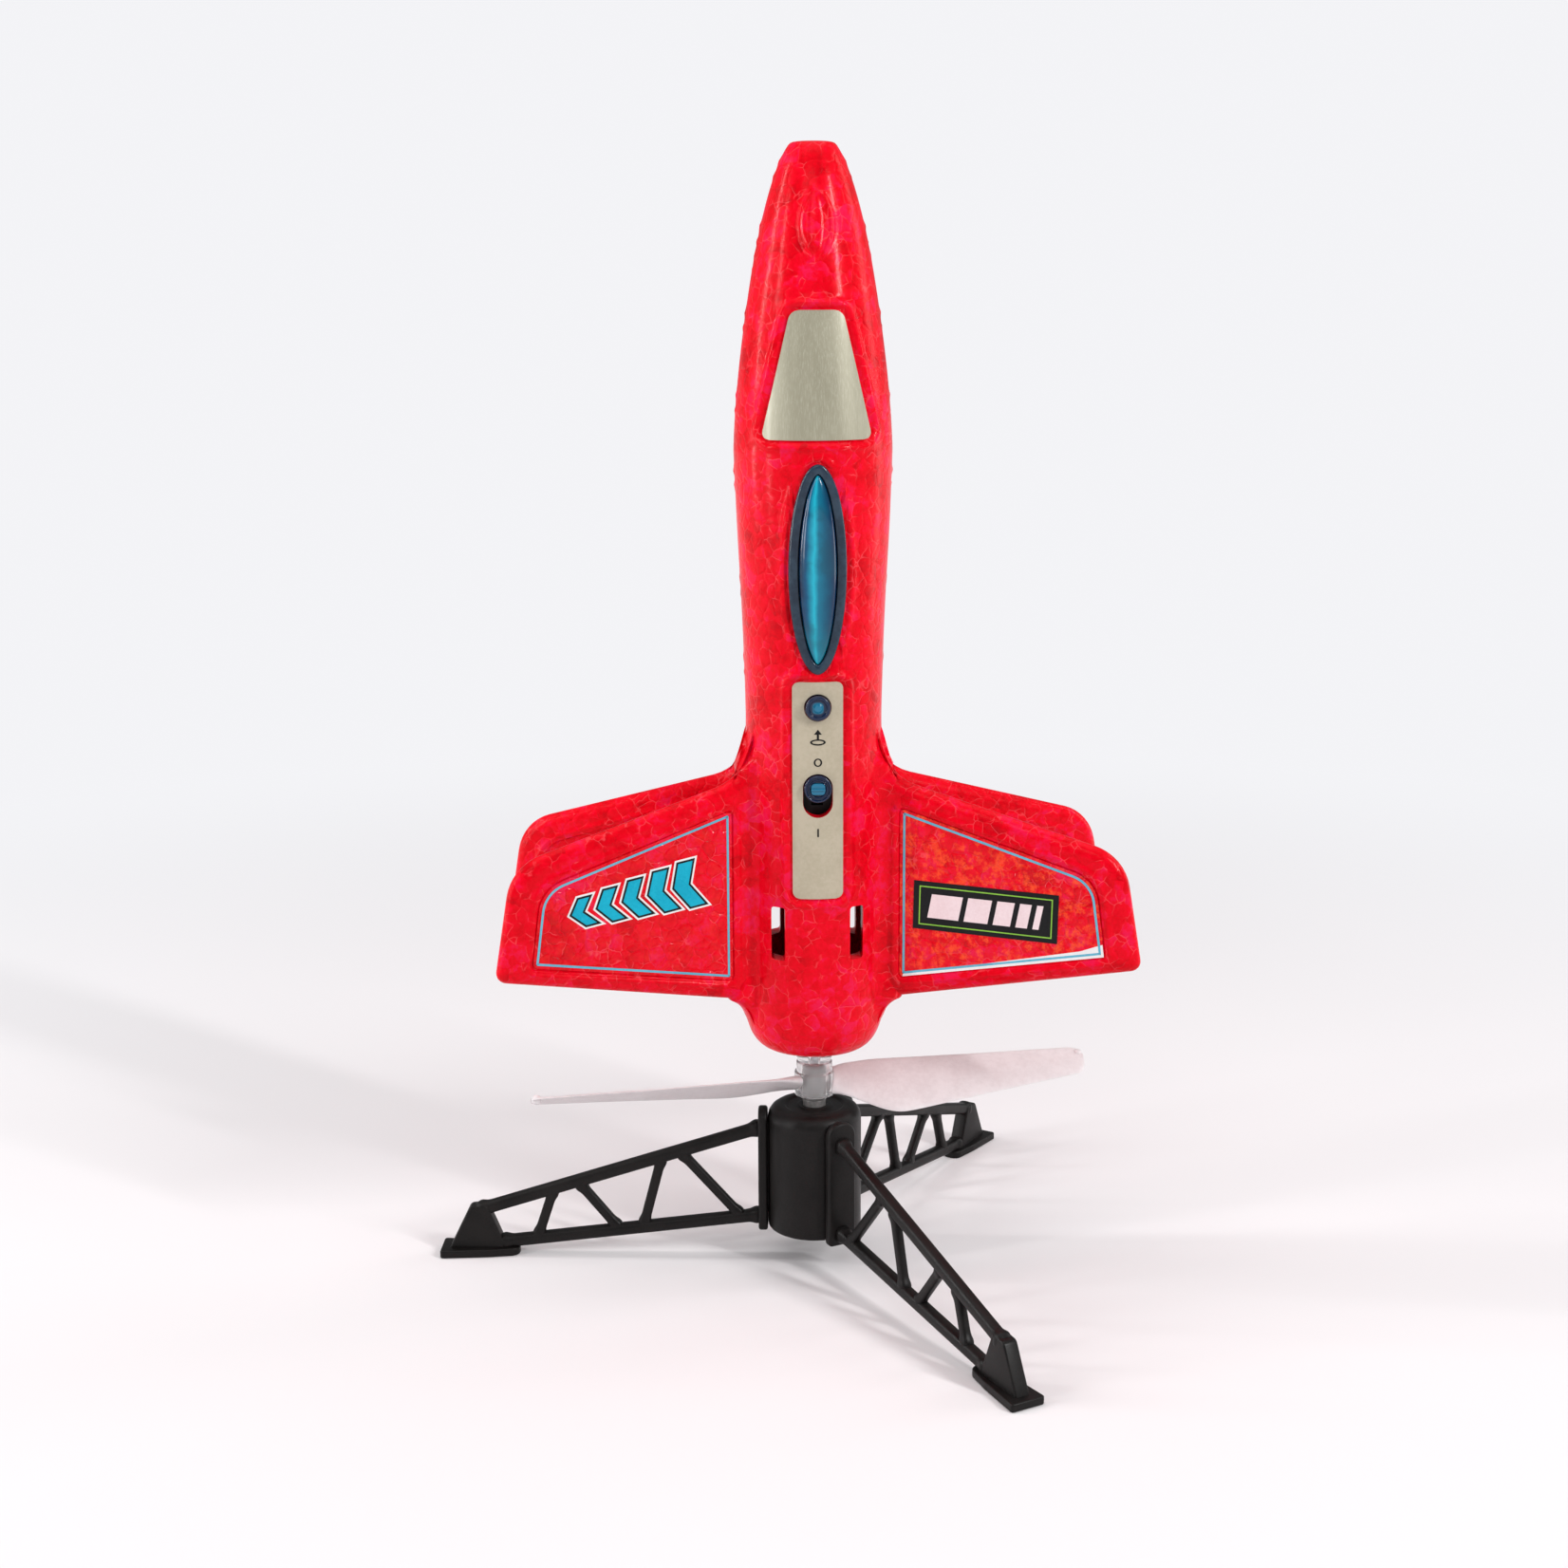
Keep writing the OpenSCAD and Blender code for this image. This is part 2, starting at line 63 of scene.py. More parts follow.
def rocket_axis() -> np.ndarray:
    """Gives the place of the rocket's axis on the floor, in millimetres, from the launch pin's box.

    Returns:
        A point with three coordinates, the last of them 0.
    """
    low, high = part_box("launch_pin")
    return np.array([(low.x + high.x) / 2, (low.y + high.y) / 2, 0.0]) / MM


AXIS = rocket_axis()


# ---- curves and fields --------------------------------------------------------------------


def smooth(start: float, end: float, value: np.ndarray) -> np.ndarray:
    """Rises from 0 at start to 1 at end with level ends: t squared times (3 - 2t)."""
    t = np.clip((value - start) / (end - start), 0, 1)
    return t * t * (3 - 2 * t)


def bell(value: np.ndarray, width: float) -> np.ndarray:
    """Gives a smooth bump of height 1 at 0: e to the minus (value / width) squared."""
    return np.exp(-((value / width) ** 2))


def unit(vectors: np.ndarray) -> np.ndarray:
    """Scales each vector in the last axis to length 1."""
    return vectors / np.maximum(np.linalg.norm(vectors, axis=-1, keepdims=True), 1e-9)


def stations(*spans: tuple[float, float, float]) -> np.ndarray:
    """Lays out places along a line.

    Args:
        spans: Start, end and step of each stretch, one after the other.

    Returns:
        The places of every stretch, and the last end.
    """
    parts = [np.linspace(a, b, max(1, round((b - a) / step)), endpoint=False) for a, b, step in spans]
    return np.append(np.concatenate(parts), spans[-1][1])


def through(places: np.ndarray, knots: Sequence[tuple[float, float]], blur: float) -> np.ndarray:
    """Reads a soft curve through knots: straight lines between them, averaged over a short stretch.

    Args:
        places: Where to read the curve.
        knots: Place and value of each knot, in rising order.
        blur: Half length of the stretch that is averaged.

    Returns:
        The curve's value at each place.
    """
    at, value = np.array(knots, float).T
    spread = np.linspace(-blur, blur, 9)
    return np.interp(np.asarray(places)[..., None] + spread, at, value).mean(-1)


def rounded_outline(corners: Sequence[tuple[float, float, float]], steps: int = 8) -> np.ndarray:
    """Rounds the corners of a closed outline.

    At each corner the arc's centre lies on the bisector, radius / sin(half angle) away, and the arc
    turns by 180 degrees less the corner's angle.

    Args:
        corners: Two coordinates and a radius for each corner, in order.
        steps: Steps in each arc.

    Returns:
        Points of shape (corners, steps + 1, 2).
    """
    table = np.asarray(corners, float)
    tips, radius = table[:, :2], table[:, 2:]
    back = unit(np.roll(tips, 1, 0) - tips)
    ahead = unit(np.roll(tips, -1, 0) - tips)
    half = np.arccos(np.clip((back * ahead).sum(1, keepdims=True), -1, 1)) / 2
    centre = tips + unit(back + ahead) * radius / np.sin(half)
    first = tips + back * radius / np.tan(half) - centre
    last = tips + ahead * radius / np.tan(half) - centre
    side = np.sign(first[:, :1] * last[:, 1:] - first[:, 1:] * last[:, :1])
    turn = side * (math.pi - 2 * half) * np.linspace(0, 1, steps + 1)
    x = centre[:, :1] + first[:, :1] * np.cos(turn) - first[:, 1:] * np.sin(turn)
    y = centre[:, 1:] + first[:, :1] * np.sin(turn) + first[:, 1:] * np.cos(turn)
    return np.stack([x, y], -1)


def oval(width: float, height: float, middle: float, count: int, point: float = 1.0) -> np.ndarray:
    """Closed oval: width times cosine to the power point, height times sine, about a middle height."""
    q = np.linspace(0, 2 * math.pi, count, endpoint=False)
    across = np.sign(np.cos(q)) * np.abs(np.cos(q)) ** point
    return np.stack([width * across, middle + height * np.sin(q)], -1)


def resample(path: np.ndarray, count: int) -> np.ndarray:
    """Spaces points evenly along a path, by its length."""
    lengths = np.linalg.norm(np.diff(path, axis=0), axis=1)
    along = np.append(0, np.cumsum(lengths))
    at = np.linspace(0, along[-1], count)
    return np.stack([np.interp(at, along, column) for column in path.T], -1)


def edge_distance(x: np.ndarray, z: np.ndarray, path: np.ndarray) -> np.ndarray:
    """Distance from points to an open path: the least distance to any of its straight pieces."""
    point = np.stack([x.ravel(), z.ravel()], -1)[:, None]
    start, step = path[None, :-1], np.diff(path, axis=0)[None]
    share = ((point - start) * step).sum(-1) / np.maximum((step * step).sum(-1), 1e-12)
    nearest = start + step * np.clip(share, 0, 1)[..., None]
    return np.linalg.norm(point - nearest, axis=-1).min(1).reshape(x.shape)


def signed_distance(x: np.ndarray, z: np.ndarray, outline: np.ndarray) -> np.ndarray:
    """Distance to a closed outline, negative inside it, by the even-odd rule for a ray along +X."""
    ring = np.vstack([outline, outline[:1]])
    px, pz = x.ravel()[:, None], z.ravel()[:, None]
    ax, az, bx, bz = ring[:-1, 0], ring[:-1, 1], ring[1:, 0], ring[1:, 1]
    rise = np.where(np.abs(bz - az) < 1e-12, 1e-12, bz - az)
    crossed = ((az > pz) != (bz > pz)) & (px < (bx - ax) * (pz - az) / rise + ax)
    inside = (crossed.sum(1) % 2 == 1).reshape(x.shape)
    away = edge_distance(x, z, ring)
    return np.where(inside, -away, away)


def inset(loop: np.ndarray, distance: float) -> np.ndarray:
    """Moves a closed loop inwards by a distance, with mitred corners.

    Each point moves along the mean of its two edges' normals, further at sharp corners, by
    distance / cosine of half the turn.

    Args:
        loop: Points in order, either way round.
        distance: How far inwards; negative moves outwards.

    Returns:
        The moved points.
    """
    back = unit(loop - np.roll(loop, 1, 0))
    ahead = unit(np.roll(loop, -1, 0) - loop)
    back = np.where(np.abs(back).sum(1, keepdims=True) < 0.5, ahead, back)
    ahead = np.where(np.abs(ahead).sum(1, keepdims=True) < 0.5, back, ahead)
    after = np.roll(loop, -1, 0)
    area = (loop[:, 0] * after[:, 1] - after[:, 0] * loop[:, 1]).sum()
    normal = unit(back + ahead)[:, ::-1] * np.array([-1.0, 1.0]) * np.sign(area)
    reach = 1 / np.clip(np.sqrt((1 + (back * ahead).sum(1, keepdims=True)) / 2), 0.35, 1)
    return loop + normal * reach * distance


# ---- meshes -------------------------------------------------------------------------------


@dataclass
class Skin:
    """Points and faces of one piece, collected in millimetres about the rocket's axis."""

    points: list[np.ndarray] = field(default_factory=list)
    faces: list[list[int]] = field(default_factory=list)
    count: int = 0

    def add(self, points: np.ndarray) -> np.ndarray:
        """Adds points and gives their indices.

        Args:
            points: An array whose last axis holds three coordinates.

        Returns:
            Indices in an array of the same shape without that last axis.
        """
        flat = points.reshape(-1, 3)
        ids = np.arange(self.count, self.count + len(flat)).reshape(points.shape[:-1])
        self.points.append(flat)
        self.count += len(flat)
        return ids

    def sheet(self, ids: np.ndarray, wrap: bool = False, keep: np.ndarray | None = None) -> None:
        """Joins neighbours in a grid of indices with four-sided faces.

        Args:
            ids: The grid, rows by columns.
            wrap: Whether the last column joins the first.
            keep: Which faces to make, rows less one by columns less one.
        """
        if wrap:
            ids = np.concatenate([ids, ids[:, :1]], 1)
        quads = np.stack([ids[:-1, :-1], ids[:-1, 1:], ids[1:, 1:], ids[1:, :-1]], -1)
        if keep is not None:
            quads = quads[keep]
        self.faces.extend(quads.reshape(-1, 4).tolist())

    def strip(self, first: np.ndarray, second: np.ndarray, wrap: bool = True) -> None:
        """Joins two rows of indices with one row of faces."""
        self.sheet(np.stack([first, second]), wrap)

    def cap(self, ring: np.ndarray) -> None:
        """Closes a ring of indices with one flat face."""
        self.faces.append(ring.tolist())

    def grid(self, points: np.ndarray, wrap: bool = False) -> np.ndarray:
        """Adds a grid of points with its faces, and gives its indices."""
        ids = self.add(points)
        self.sheet(ids, wrap)
        return ids

    def slab(self, outline: np.ndarray, lift: Lift, low: float, high: float, bevel: float = 0.0) -> None:
        """Makes a flat piece over a closed outline, with rounded rims.

        The rim is a quarter circle: inset by bevel (1 - sine), height bevel (1 - cosine) from each face.

        Args:
            outline: Closed outline, two coordinates a point.
            lift: Places two coordinates and a height in space.
            low: Height of the lower face.
            high: Height of the upper face.
            bevel: Radius of the rounded rims; 0 leaves them square.
        """
        if bevel > 0:
            q = np.linspace(0, math.pi / 2, 5)
            depth, rise = bevel * (1 - np.sin(q)), bevel * (1 - np.cos(q))
            inwards = np.concatenate([depth, depth[::-1]])
            heights = np.concatenate([low + rise, high - rise[::-1]])
        else:
            inwards, heights = np.zeros(2), np.array([low, high])
        rings = [lift(*inset(outline, d).T, h) for d, h in zip(inwards, heights)]
        ids = self.grid(np.stack(rings), wrap=True)
        self.cap(ids[0])
        self.cap(ids[-1])

    def build(self, name: str, finish: "Finish", body: str, slot: str, replaces: Iterable[str] = (),
              crease: float = 42.0) -> bpy.types.Object:
        """Turns the points and faces into an object that rides on a body.

        Args:
            name: Name of the piece.
            finish: Its material.
            body: The CAD body that it rides on.
            slot: The record's material slot; not used.
            replaces: CAD nodes that it stands for.
            crease: Angle in degrees over which an edge is sharp.

        Returns:
            The new object.
        """
        mesh = bpy.data.meshes.new(name)
        mesh.from_pydata((np.concatenate(self.points) + AXIS) * MM, [], self.faces)
        shape = bmesh.new()
        shape.from_mesh(mesh)
        bmesh.ops.remove_doubles(shape, verts=shape.verts, dist=WELD)
        bmesh.ops.dissolve_degenerate(shape, edges=shape.edges, dist=WELD / 10)
        bmesh.ops.recalc_face_normals(shape, faces=shape.faces)
        shape.to_mesh(mesh)
        shape.free()
        mesh.polygons.foreach_set("use_smooth", np.ones(len(mesh.polygons), bool))
        mesh.set_sharp_from_angle(angle=math.radians(crease))
        mesh.materials.append(finish.material())
        piece = bpy.data.objects.new(name, mesh)
        bpy.context.scene.collection.objects.link(piece)
        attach(piece, body)
        for node in replaces:
            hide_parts(node)
        triangles = sum(len(p.vertices) - 2 for p in mesh.polygons)
        LOG.info("%s: %d triangles on %s", name, triangles, body)
        return piece


def turned(profile: Sequence[tuple[float, float]], count: int = 72) -> np.ndarray:
    """Turns a profile of (radius, height) about the axis: x = r cos q, y = r sin q, z = height."""
    radius, height = np.asarray(profile, float).T
    q = np.linspace(0, 2 * math.pi, count, endpoint=False)
    return np.stack([np.outer(radius, np.cos(q)), np.outer(radius, np.sin(q)),
                     np.repeat(height[:, None], count, 1)], -1)


def facing_front(points: np.ndarray, height: float) -> np.ndarray:
    """Lays a turned shape over so that its axis points to -Y at a height above the floor."""
    return np.stack([points[..., 0], -points[..., 2], height + points[..., 1]], -1)


def soften(profile: Sequence[tuple[float, float, float]], closed: bool = False) -> np.ndarray:
    """Rounds the corners of an open profile of (radius, height, rounding), and keeps its two ends."""
    arcs = rounded_outline(profile, 4)
    return arcs.reshape(-1, 2) if closed else np.vstack([arcs[0, :1], arcs[1:-1].reshape(-1, 2), arcs[-1, -1:]])


# ---- holes through walls ------------------------------------------------------------------


class HoleShape(Enum):
    """How a hole's rim is drawn round its core."""

    ROUNDED = "a core rectangle with a round rim"
    OVAL = "an ellipse"


@dataclass(frozen=True)
class Hole:
    """An opening through a wall, seen along its own direction.

    Attributes:
        across: Sideways place of its middle.
        height: Height of its middle.
        core: Half width and half height of the core rectangle, or of the ellipse.
        rim: Radius of the rim round the core.
        margin: Width of the patch that is remade round it.
        turn: Direction of the hole from the wall's own front, in radians.
        shape: How the rim is drawn.
    """

    across: float
    height: float
    core: tuple[float, float]
    rim: float = 0.0
    margin: float = 1.5
    turn: float = 0.0
    shape: HoleShape = HoleShape.ROUNDED

    def outline(self, t: np.ndarray, z: np.ndarray) -> tuple[np.ndarray, np.ndarray]:
        """Gives the rim's point for each point outside it.

        For a rounded hole it lies rim away from the nearest point of the core rectangle. For an oval
        it lies at the same angle once both half axes are scaled to 1.

        Args:
            t: Sideways places.
            z: Heights.

        Returns:
            Sideways places and heights on the rim.
        """
        dt, dz = t - self.across, z - self.height
        if self.shape is HoleShape.OVAL:
            q = np.arctan2(dz / self.core[1], dt / self.core[0])
            return self.across + self.core[0] * np.cos(q), self.height + self.core[1] * np.sin(q)
        ct = np.clip(dt, -self.core[0], self.core[0])
        cz = np.clip(dz, -self.core[1], self.core[1])
        away = np.maximum(np.hypot(dt - ct, dz - cz), 1e-9)
        return (self.across + ct + self.rim * (dt - ct) / away,
                self.height + cz + self.rim * (dz - cz) / away)

    def window(self, t: np.ndarray, z: np.ndarray) -> tuple[int, int, int, int]:
        """Finds the block of a grid that the hole's patch takes the place of.

        Args:
            t: Sideways place of each grid point.
            z: Height of each grid point.

        Returns:
            First and last row, then first and last column.
        """
        wide, high = (c + self.rim + self.margin for c in self.core)
        near = (np.abs(t - self.across) < wide) & (np.abs(z - self.height) < high)
        rows, columns = np.flatnonzero(near.any(1)), np.flatnonzero(near.any(0))
        return rows[0] - 1, rows[-1] + 1, columns[0] - 1, columns[-1] + 1

    def cut(self, skin: Skin, ids: np.ndarray, t: np.ndarray, z: np.ndarray,
            block: tuple[int, int, int, int], place: Callable[[np.ndarray, np.ndarray], np.ndarray],
            rings: int = 4) -> np.ndarray:
        """Fills a block of a grid with rings that run from its border to the hole's rim.

        Args:
            skin: Where the rings go.
            ids: The grid's indices.
            t: Sideways place of each grid point.
            z: Height of each grid point.
            block: The block, from window().
            place: Places sideways places and heights in space.
            rings: Number of rings.

        Returns:
            Indices of the rim's points.
        """
        r0, r1, c0, c1 = block

        def border(a: np.ndarray) -> np.ndarray:
            return np.concatenate([a[r0, c0:c1], a[r0:r1, c1], a[r1, c1:c0:-1], a[r1:r0:-1, c0]])

        bt, bz = border(t), border(z)
        rt, rz = self.outline(bt, bz)
        share = np.linspace(0, 1, rings + 1)[1:, None]
        inner = skin.add(place(bt + (rt - bt) * share, bz + (rz - bz) * share))
        skin.sheet(np.vstack([border(ids)[None], inner]), wrap=True)
        return inner[-1]


def keep_outside(shape: tuple[int, int], blocks: Iterable[tuple[int, int, int, int]]) -> np.ndarray:
    """Marks the faces of a grid that lie in none of the blocks.

    Args:
        shape: Rows and columns of the grid's points.
        blocks: First and last row and column of each block.

    Returns:
        A mask, rows less one by columns less one.
    """
    keep = np.ones((shape[0] - 1, shape[1] - 1), bool)
    for r0, r1, c0, c1 in blocks:
        keep[r0:r1, c0:c1] = False
    return keep


# ---- finishes -----------------------------------------------------------------------------


class Graph:
    """Builds a material's nodes; its place output gives the surface's own position in millimetres."""

    def __init__(self, name: str, middle: tuple[float, float, float] = (0.0, 0.0, 0.0)) -> None:
        """Starts a material whose pattern is centred on a point about the rocket's axis."""
        self.made = bpy.data.materials.new(name)
        self.made.use_nodes = True
        self.tree = self.made.node_tree
        self.tree.nodes.clear()
        here = self.node("TexCoord").outputs["Object"]
        shift = [-float(a) - m for a, m in zip(AXIS, middle)]
        scale = (1 / MM,) * 3
        self.place = self.node("Mapping", {"Vector": here, "Location": shift, "Scale": scale}).outputs[0]

    def node(self, kind: str, inputs: dict | None = None, **settings: object) -> bpy.types.Node:
        """Adds a node, sets its options and links or sets its inputs."""
        made = self.tree.nodes.new("ShaderNode" + kind)
        for key, value in settings.items():
            setattr(made, key, value)
        for key, value in (inputs or {}).items():
            if isinstance(value, bpy.types.NodeSocket):
                self.tree.links.new(value, made.inputs[key])
            else:
                made.inputs[key].default_value = value
        return made

    def noise(self, scale: float, detail: float = 2.0, place: bpy.types.NodeSocket | None = None,
              rough: float = 0.5) -> bpy.types.NodeSocket:
        """Cloudy noise with so many swings a millimetre."""
        return self.node("TexNoise", {"Vector": place or self.place, "Scale": scale, "Detail": detail,
                                      "Roughness": rough}).outputs[0]

    def sum(self, kind: str, a: object, b: object, c: object = 0.0) -> bpy.types.NodeSocket:
        """Does arithmetic on numbers."""
        return self.node("Math", {0: a, 1: b, 2: c}, operation=kind).outputs[0]

    def between(self, value: bpy.types.NodeSocket, low: float, high: float, start: float = 0.0,
                end: float = 1.0) -> bpy.types.NodeSocket:
        """Maps low to high softly onto start to end."""
        return self.node("MapRange", {0: value, 1: low, 2: high, 3: start, 4: end},
                         interpolation_type="SMOOTHSTEP").outputs[0]

    def ramp(self, value: bpy.types.NodeSocket, *stops: tuple[float, Colour]) -> bpy.types.NodeSocket:
        """Colours a number by stops of place and colour."""
        made = self.node("ValToRGB", {0: value})
        bar = made.color_ramp.elements
        while len(bar) < len(stops):
            bar.new(0.5)
        for stop, (at, colour) in zip(bar, stops):
            stop.position = at
            stop.color = (*colour, 1)
        return made.outputs[0]

    def mix(self, share: object, a: object, b: object) -> bpy.types.NodeSocket:
        """Mixes two colours."""
        sides = {k: v if isinstance(v, bpy.types.NodeSocket) else (*v, 1) for k, v in ((6, a), (7, b))}
        return self.node("Mix", {0: share, **sides}, data_type="RGBA").outputs[2]

    def bump(self, height: bpy.types.NodeSocket, depth: float, strength: float = 1.0,
             under: bpy.types.NodeSocket | None = None) -> bpy.types.NodeSocket:
        """Raises the surface by a number, with the depth in millimetres."""
        inputs = {"Height": height, "Distance": depth * MM, "Strength": strength}
        if under is not None:
            inputs["Normal"] = under
        return self.node("Bump", inputs).outputs[0]

    def surface(self, colour: object, rough: object, normal: bpy.types.NodeSocket | None = None,
                **sockets: object) -> bpy.types.Material:
        """Ends the material with one shader; other sockets are named with _ for spaces."""
        inputs = {"Base Color": colour if isinstance(colour, bpy.types.NodeSocket) else (*colour, 1),
                  "Roughness": rough}
        if normal is not None:
            inputs["Normal"] = normal
        inputs |= {key.replace("_", " "): value for key, value in sockets.items()}
        shader = self.node("BsdfPrincipled", inputs)
        self.node("OutputMaterial", {0: shader.outputs[0]})
        return self.made


class Finish:
    """A material that is made once and shared by its pieces."""

    name: str

    def material(self) -> bpy.types.Material:
        """Gives the material, and makes it the first time."""
        label = f"look_{self.name}"
        return bpy.data.materials.get(label) or self.make(Graph(label))

    def make(self, g: Graph) -> bpy.types.Material:
        """Builds the nodes."""
        raise NotImplementedError


@dataclass(frozen=True)
class BeadFoam(Finish):
    """Moulded bead foam: cells pressed together, each its own red, with pale seams here and there.

    Attributes:
        name: Name of the material.
        bead: Size of a bead in millimetres.
        film: Whether a clear glossy film lies over the foam.
        glint: Greatest share of the painted glint: orange patches painted into the colour for the light caught between
            the film and the foam.
    """

    name: str = "bead_foam"
    bead: float = 3.1
    film: bool = False
    glint: float = 0.0

    def make(self, g: Graph) -> bpy.types.Material:
        """Builds the nodes."""
        drift = g.node("TexNoise", {"Vector": g.place, "Scale": 0.36, "Detail": 2.0}).outputs["Color"]
        moved = g.node("VectorMath", {0: drift, 1: (1.9, 1.9, 1.9), 2: g.place}, operation="MULTIPLY_ADD").outputs[0]
        inputs = {"Vector": moved, "Scale": 1 / self.bead}
        cell = g.node("TexVoronoi", inputs)
        own = g.node("SeparateColor", {0: cell.outputs["Color"]}).outputs[0]
        seam = g.node("TexVoronoi", inputs, feature="DISTANCE_TO_EDGE").outputs[0]
        patch = g.noise(0.10, 3.0, rough=0.6)
        mottle = g.noise(0.55, 5.0, rough=0.68)
        tone = g.sum("MULTIPLY_ADD", own, 0.17, g.sum("MULTIPLY_ADD", patch, 0.60, g.sum("MULTIPLY", mottle, 0.50)))
        red = g.ramp(tone, (0.42, (0.52, 0.0004, 0.006)), (0.56, (0.70, 0.0005, 0.008)),
                     (0.68, (0.80, 0.0010, 0.014)), (0.80, (0.80, 0.008, 0.062)))
        line = g.sum("MULTIPLY", g.between(seam, 0.0, 0.050, 1.0, 0.0), g.between(g.noise(0.24, 2.0), 0.48, 0.60))
        red = g.mix(g.sum("MULTIPLY", line, 0.34), red, (0.95, 0.13, 0.15))
        fleck = g.between(g.noise(1.5, 3.0, rough=0.7), 0.64, 0.82)
        red = g.mix(g.sum("MULTIPLY", fleck, 0.30), red, (0.97, 0.05, 0.10))
        dome = g.between(seam, 0.0, 0.16)
        wrinkle = g.noise(0.75, 5.0, place=moved, rough=0.62)
        if self.film:
            # Painted glint: orange patches painted into the colour for light caught under the film.
            painted_glint_share = g.between(g.noise(0.42, 5.0, rough=0.72), 0.46, 0.66, 0.0, self.glint)
            red = g.mix(painted_glint_share, red, (0.93, 0.085, 0.022))
            wave = g.bump(g.sum("MULTIPLY_ADD", dome, 0.30, g.noise(0.32, 3.0)), 0.55, 0.8)
            return g.surface(red, g.between(mottle, 0.3, 0.7, 0.14, 0.26), wave,
                             Coat_Weight=0.26, Coat_Roughness=0.06, Coat_Normal=wave,
                             Specular_IOR_Level=0.10, Specular_Tint=(1.0, 0.25, 0.30, 1.0))
        coarse = g.bump(wrinkle, 0.15, 0.60)
        normal = g.bump(dome, 0.12, 0.55, coarse)
        rough = g.sum("MULTIPLY_ADD", g.sum("ADD", own, mottle), 0.06, 0.26)
        return g.surface(red, rough, normal, Specular_IOR_Level=0.08, Specular_Tint=(1.0, 0.22, 0.24, 1.0),
                         Coat_Weight=0.13, Coat_Roughness=0.13, Coat_Normal=g.bump(wrinkle, 0.07, 0.60))


@dataclass(frozen=True)
class Moulded(Finish):
    """A plain part finish: two close tones in a cloudy pattern, fine grain and worn gloss.

    Attributes:
        name: Name of the material.
        colour: Main colour.
        second: Colour of the cloudy parts.
        rough: Mean roughness.
        spread: How far roughness swings either way.
        grain: Swings of the fine grain a millimetre.
        depth: Depth of the grain in millimetres.
        metal: Metallic share.
        through: Share of light that passes through.
        bend: Index of refraction.
        coat: Weight of a clear coat.
        stretch: Stretch of the grain along Z, for brushed and drawn parts.
        shine: Level of the surface's own reflection; 0.5 is plain plastic.
    """

    name: str
    colour: Colour
    second: Colour
    rough: float = 0.4
    spread: float = 0.06
    grain: float = 1.6
    depth: float = 0.02
    metal: float = 0.0
    through: float = 0.0
    bend: float = 1.5
    coat: float = 0.0
    stretch: float = 1.0
    shine: float = 0.5

    def make(self, g: Graph) -> bpy.types.Material:
        """Builds the nodes."""
        drawn = g.node("Mapping", {"Vector": g.place, "Scale": (1, 1, 1 / self.stretch)}).outputs[0]
        fine = g.noise(self.grain, 4.0, place=drawn, rough=0.6)
        cloud = g.noise(0.13, 3.0, place=drawn)
        share = g.between(g.sum("MULTIPLY_ADD", fine, 0.45, g.sum("MULTIPLY", cloud, 0.55)), 0.36, 0.64)
        tone = g.mix(share, self.colour, self.second)
        rough = g.between(cloud, 0.3, 0.7, self.rough - self.spread, self.rough + self.spread)
        return g.surface(tone, rough, g.bump(fine, self.depth, 0.8), Metallic=self.metal,
                         Transmission_Weight=self.through, IOR=self.bend, Coat_Weight=self.coat,
                         Coat_Roughness=0.08, Specular_IOR_Level=self.shine)


@dataclass(frozen=True)
class BrushedFilm(Finish):
    """Metallic printed film with fine upright brush lines, lighter towards its two sides.

    Attributes:
        name: Name of the material.
        middle: Colour of the middle.
        side: Colour of the sides.
        reach: Half width of the film in millimetres.
    """

    name: str = "brushed_film"
    middle: Colour = (0.315, 0.296, 0.212)
    side: Colour = (0.41, 0.39, 0.29)
    reach: float = 12.0

    def make(self, g: Graph) -> bpy.types.Material:
        """Builds the nodes."""
        lines = g.node("Mapping", {"Vector": g.place, "Scale": (1, 1, 0.03)}).outputs[0]
        fine = g.noise(5.0, 3.0, place=lines, rough=0.7)
        broad = g.noise(0.6, 2.0, place=lines)
        x = g.node("SeparateXYZ", {0: g.place}).outputs[0]
        aside = g.between(g.sum("ABSOLUTE", x, 0), 0.25 * self.reach, self.reach)
        tone = g.mix(g.sum("MULTIPLY_ADD", aside, 0.7, g.sum("MULTIPLY", broad, 0.3)), self.middle, self.side)
        tone = g.mix(g.between(fine, 0.45, 0.75, 0.0, 0.35), tone, (0.66, 0.64, 0.52))
        return g.surface(tone, g.between(broad, 0.3, 0.7, 0.34, 0.46), g.bump(fine, 0.012, 0.7),
                         Metallic=0.18, Coat_Weight=0.15, Coat_Roughness=0.12)


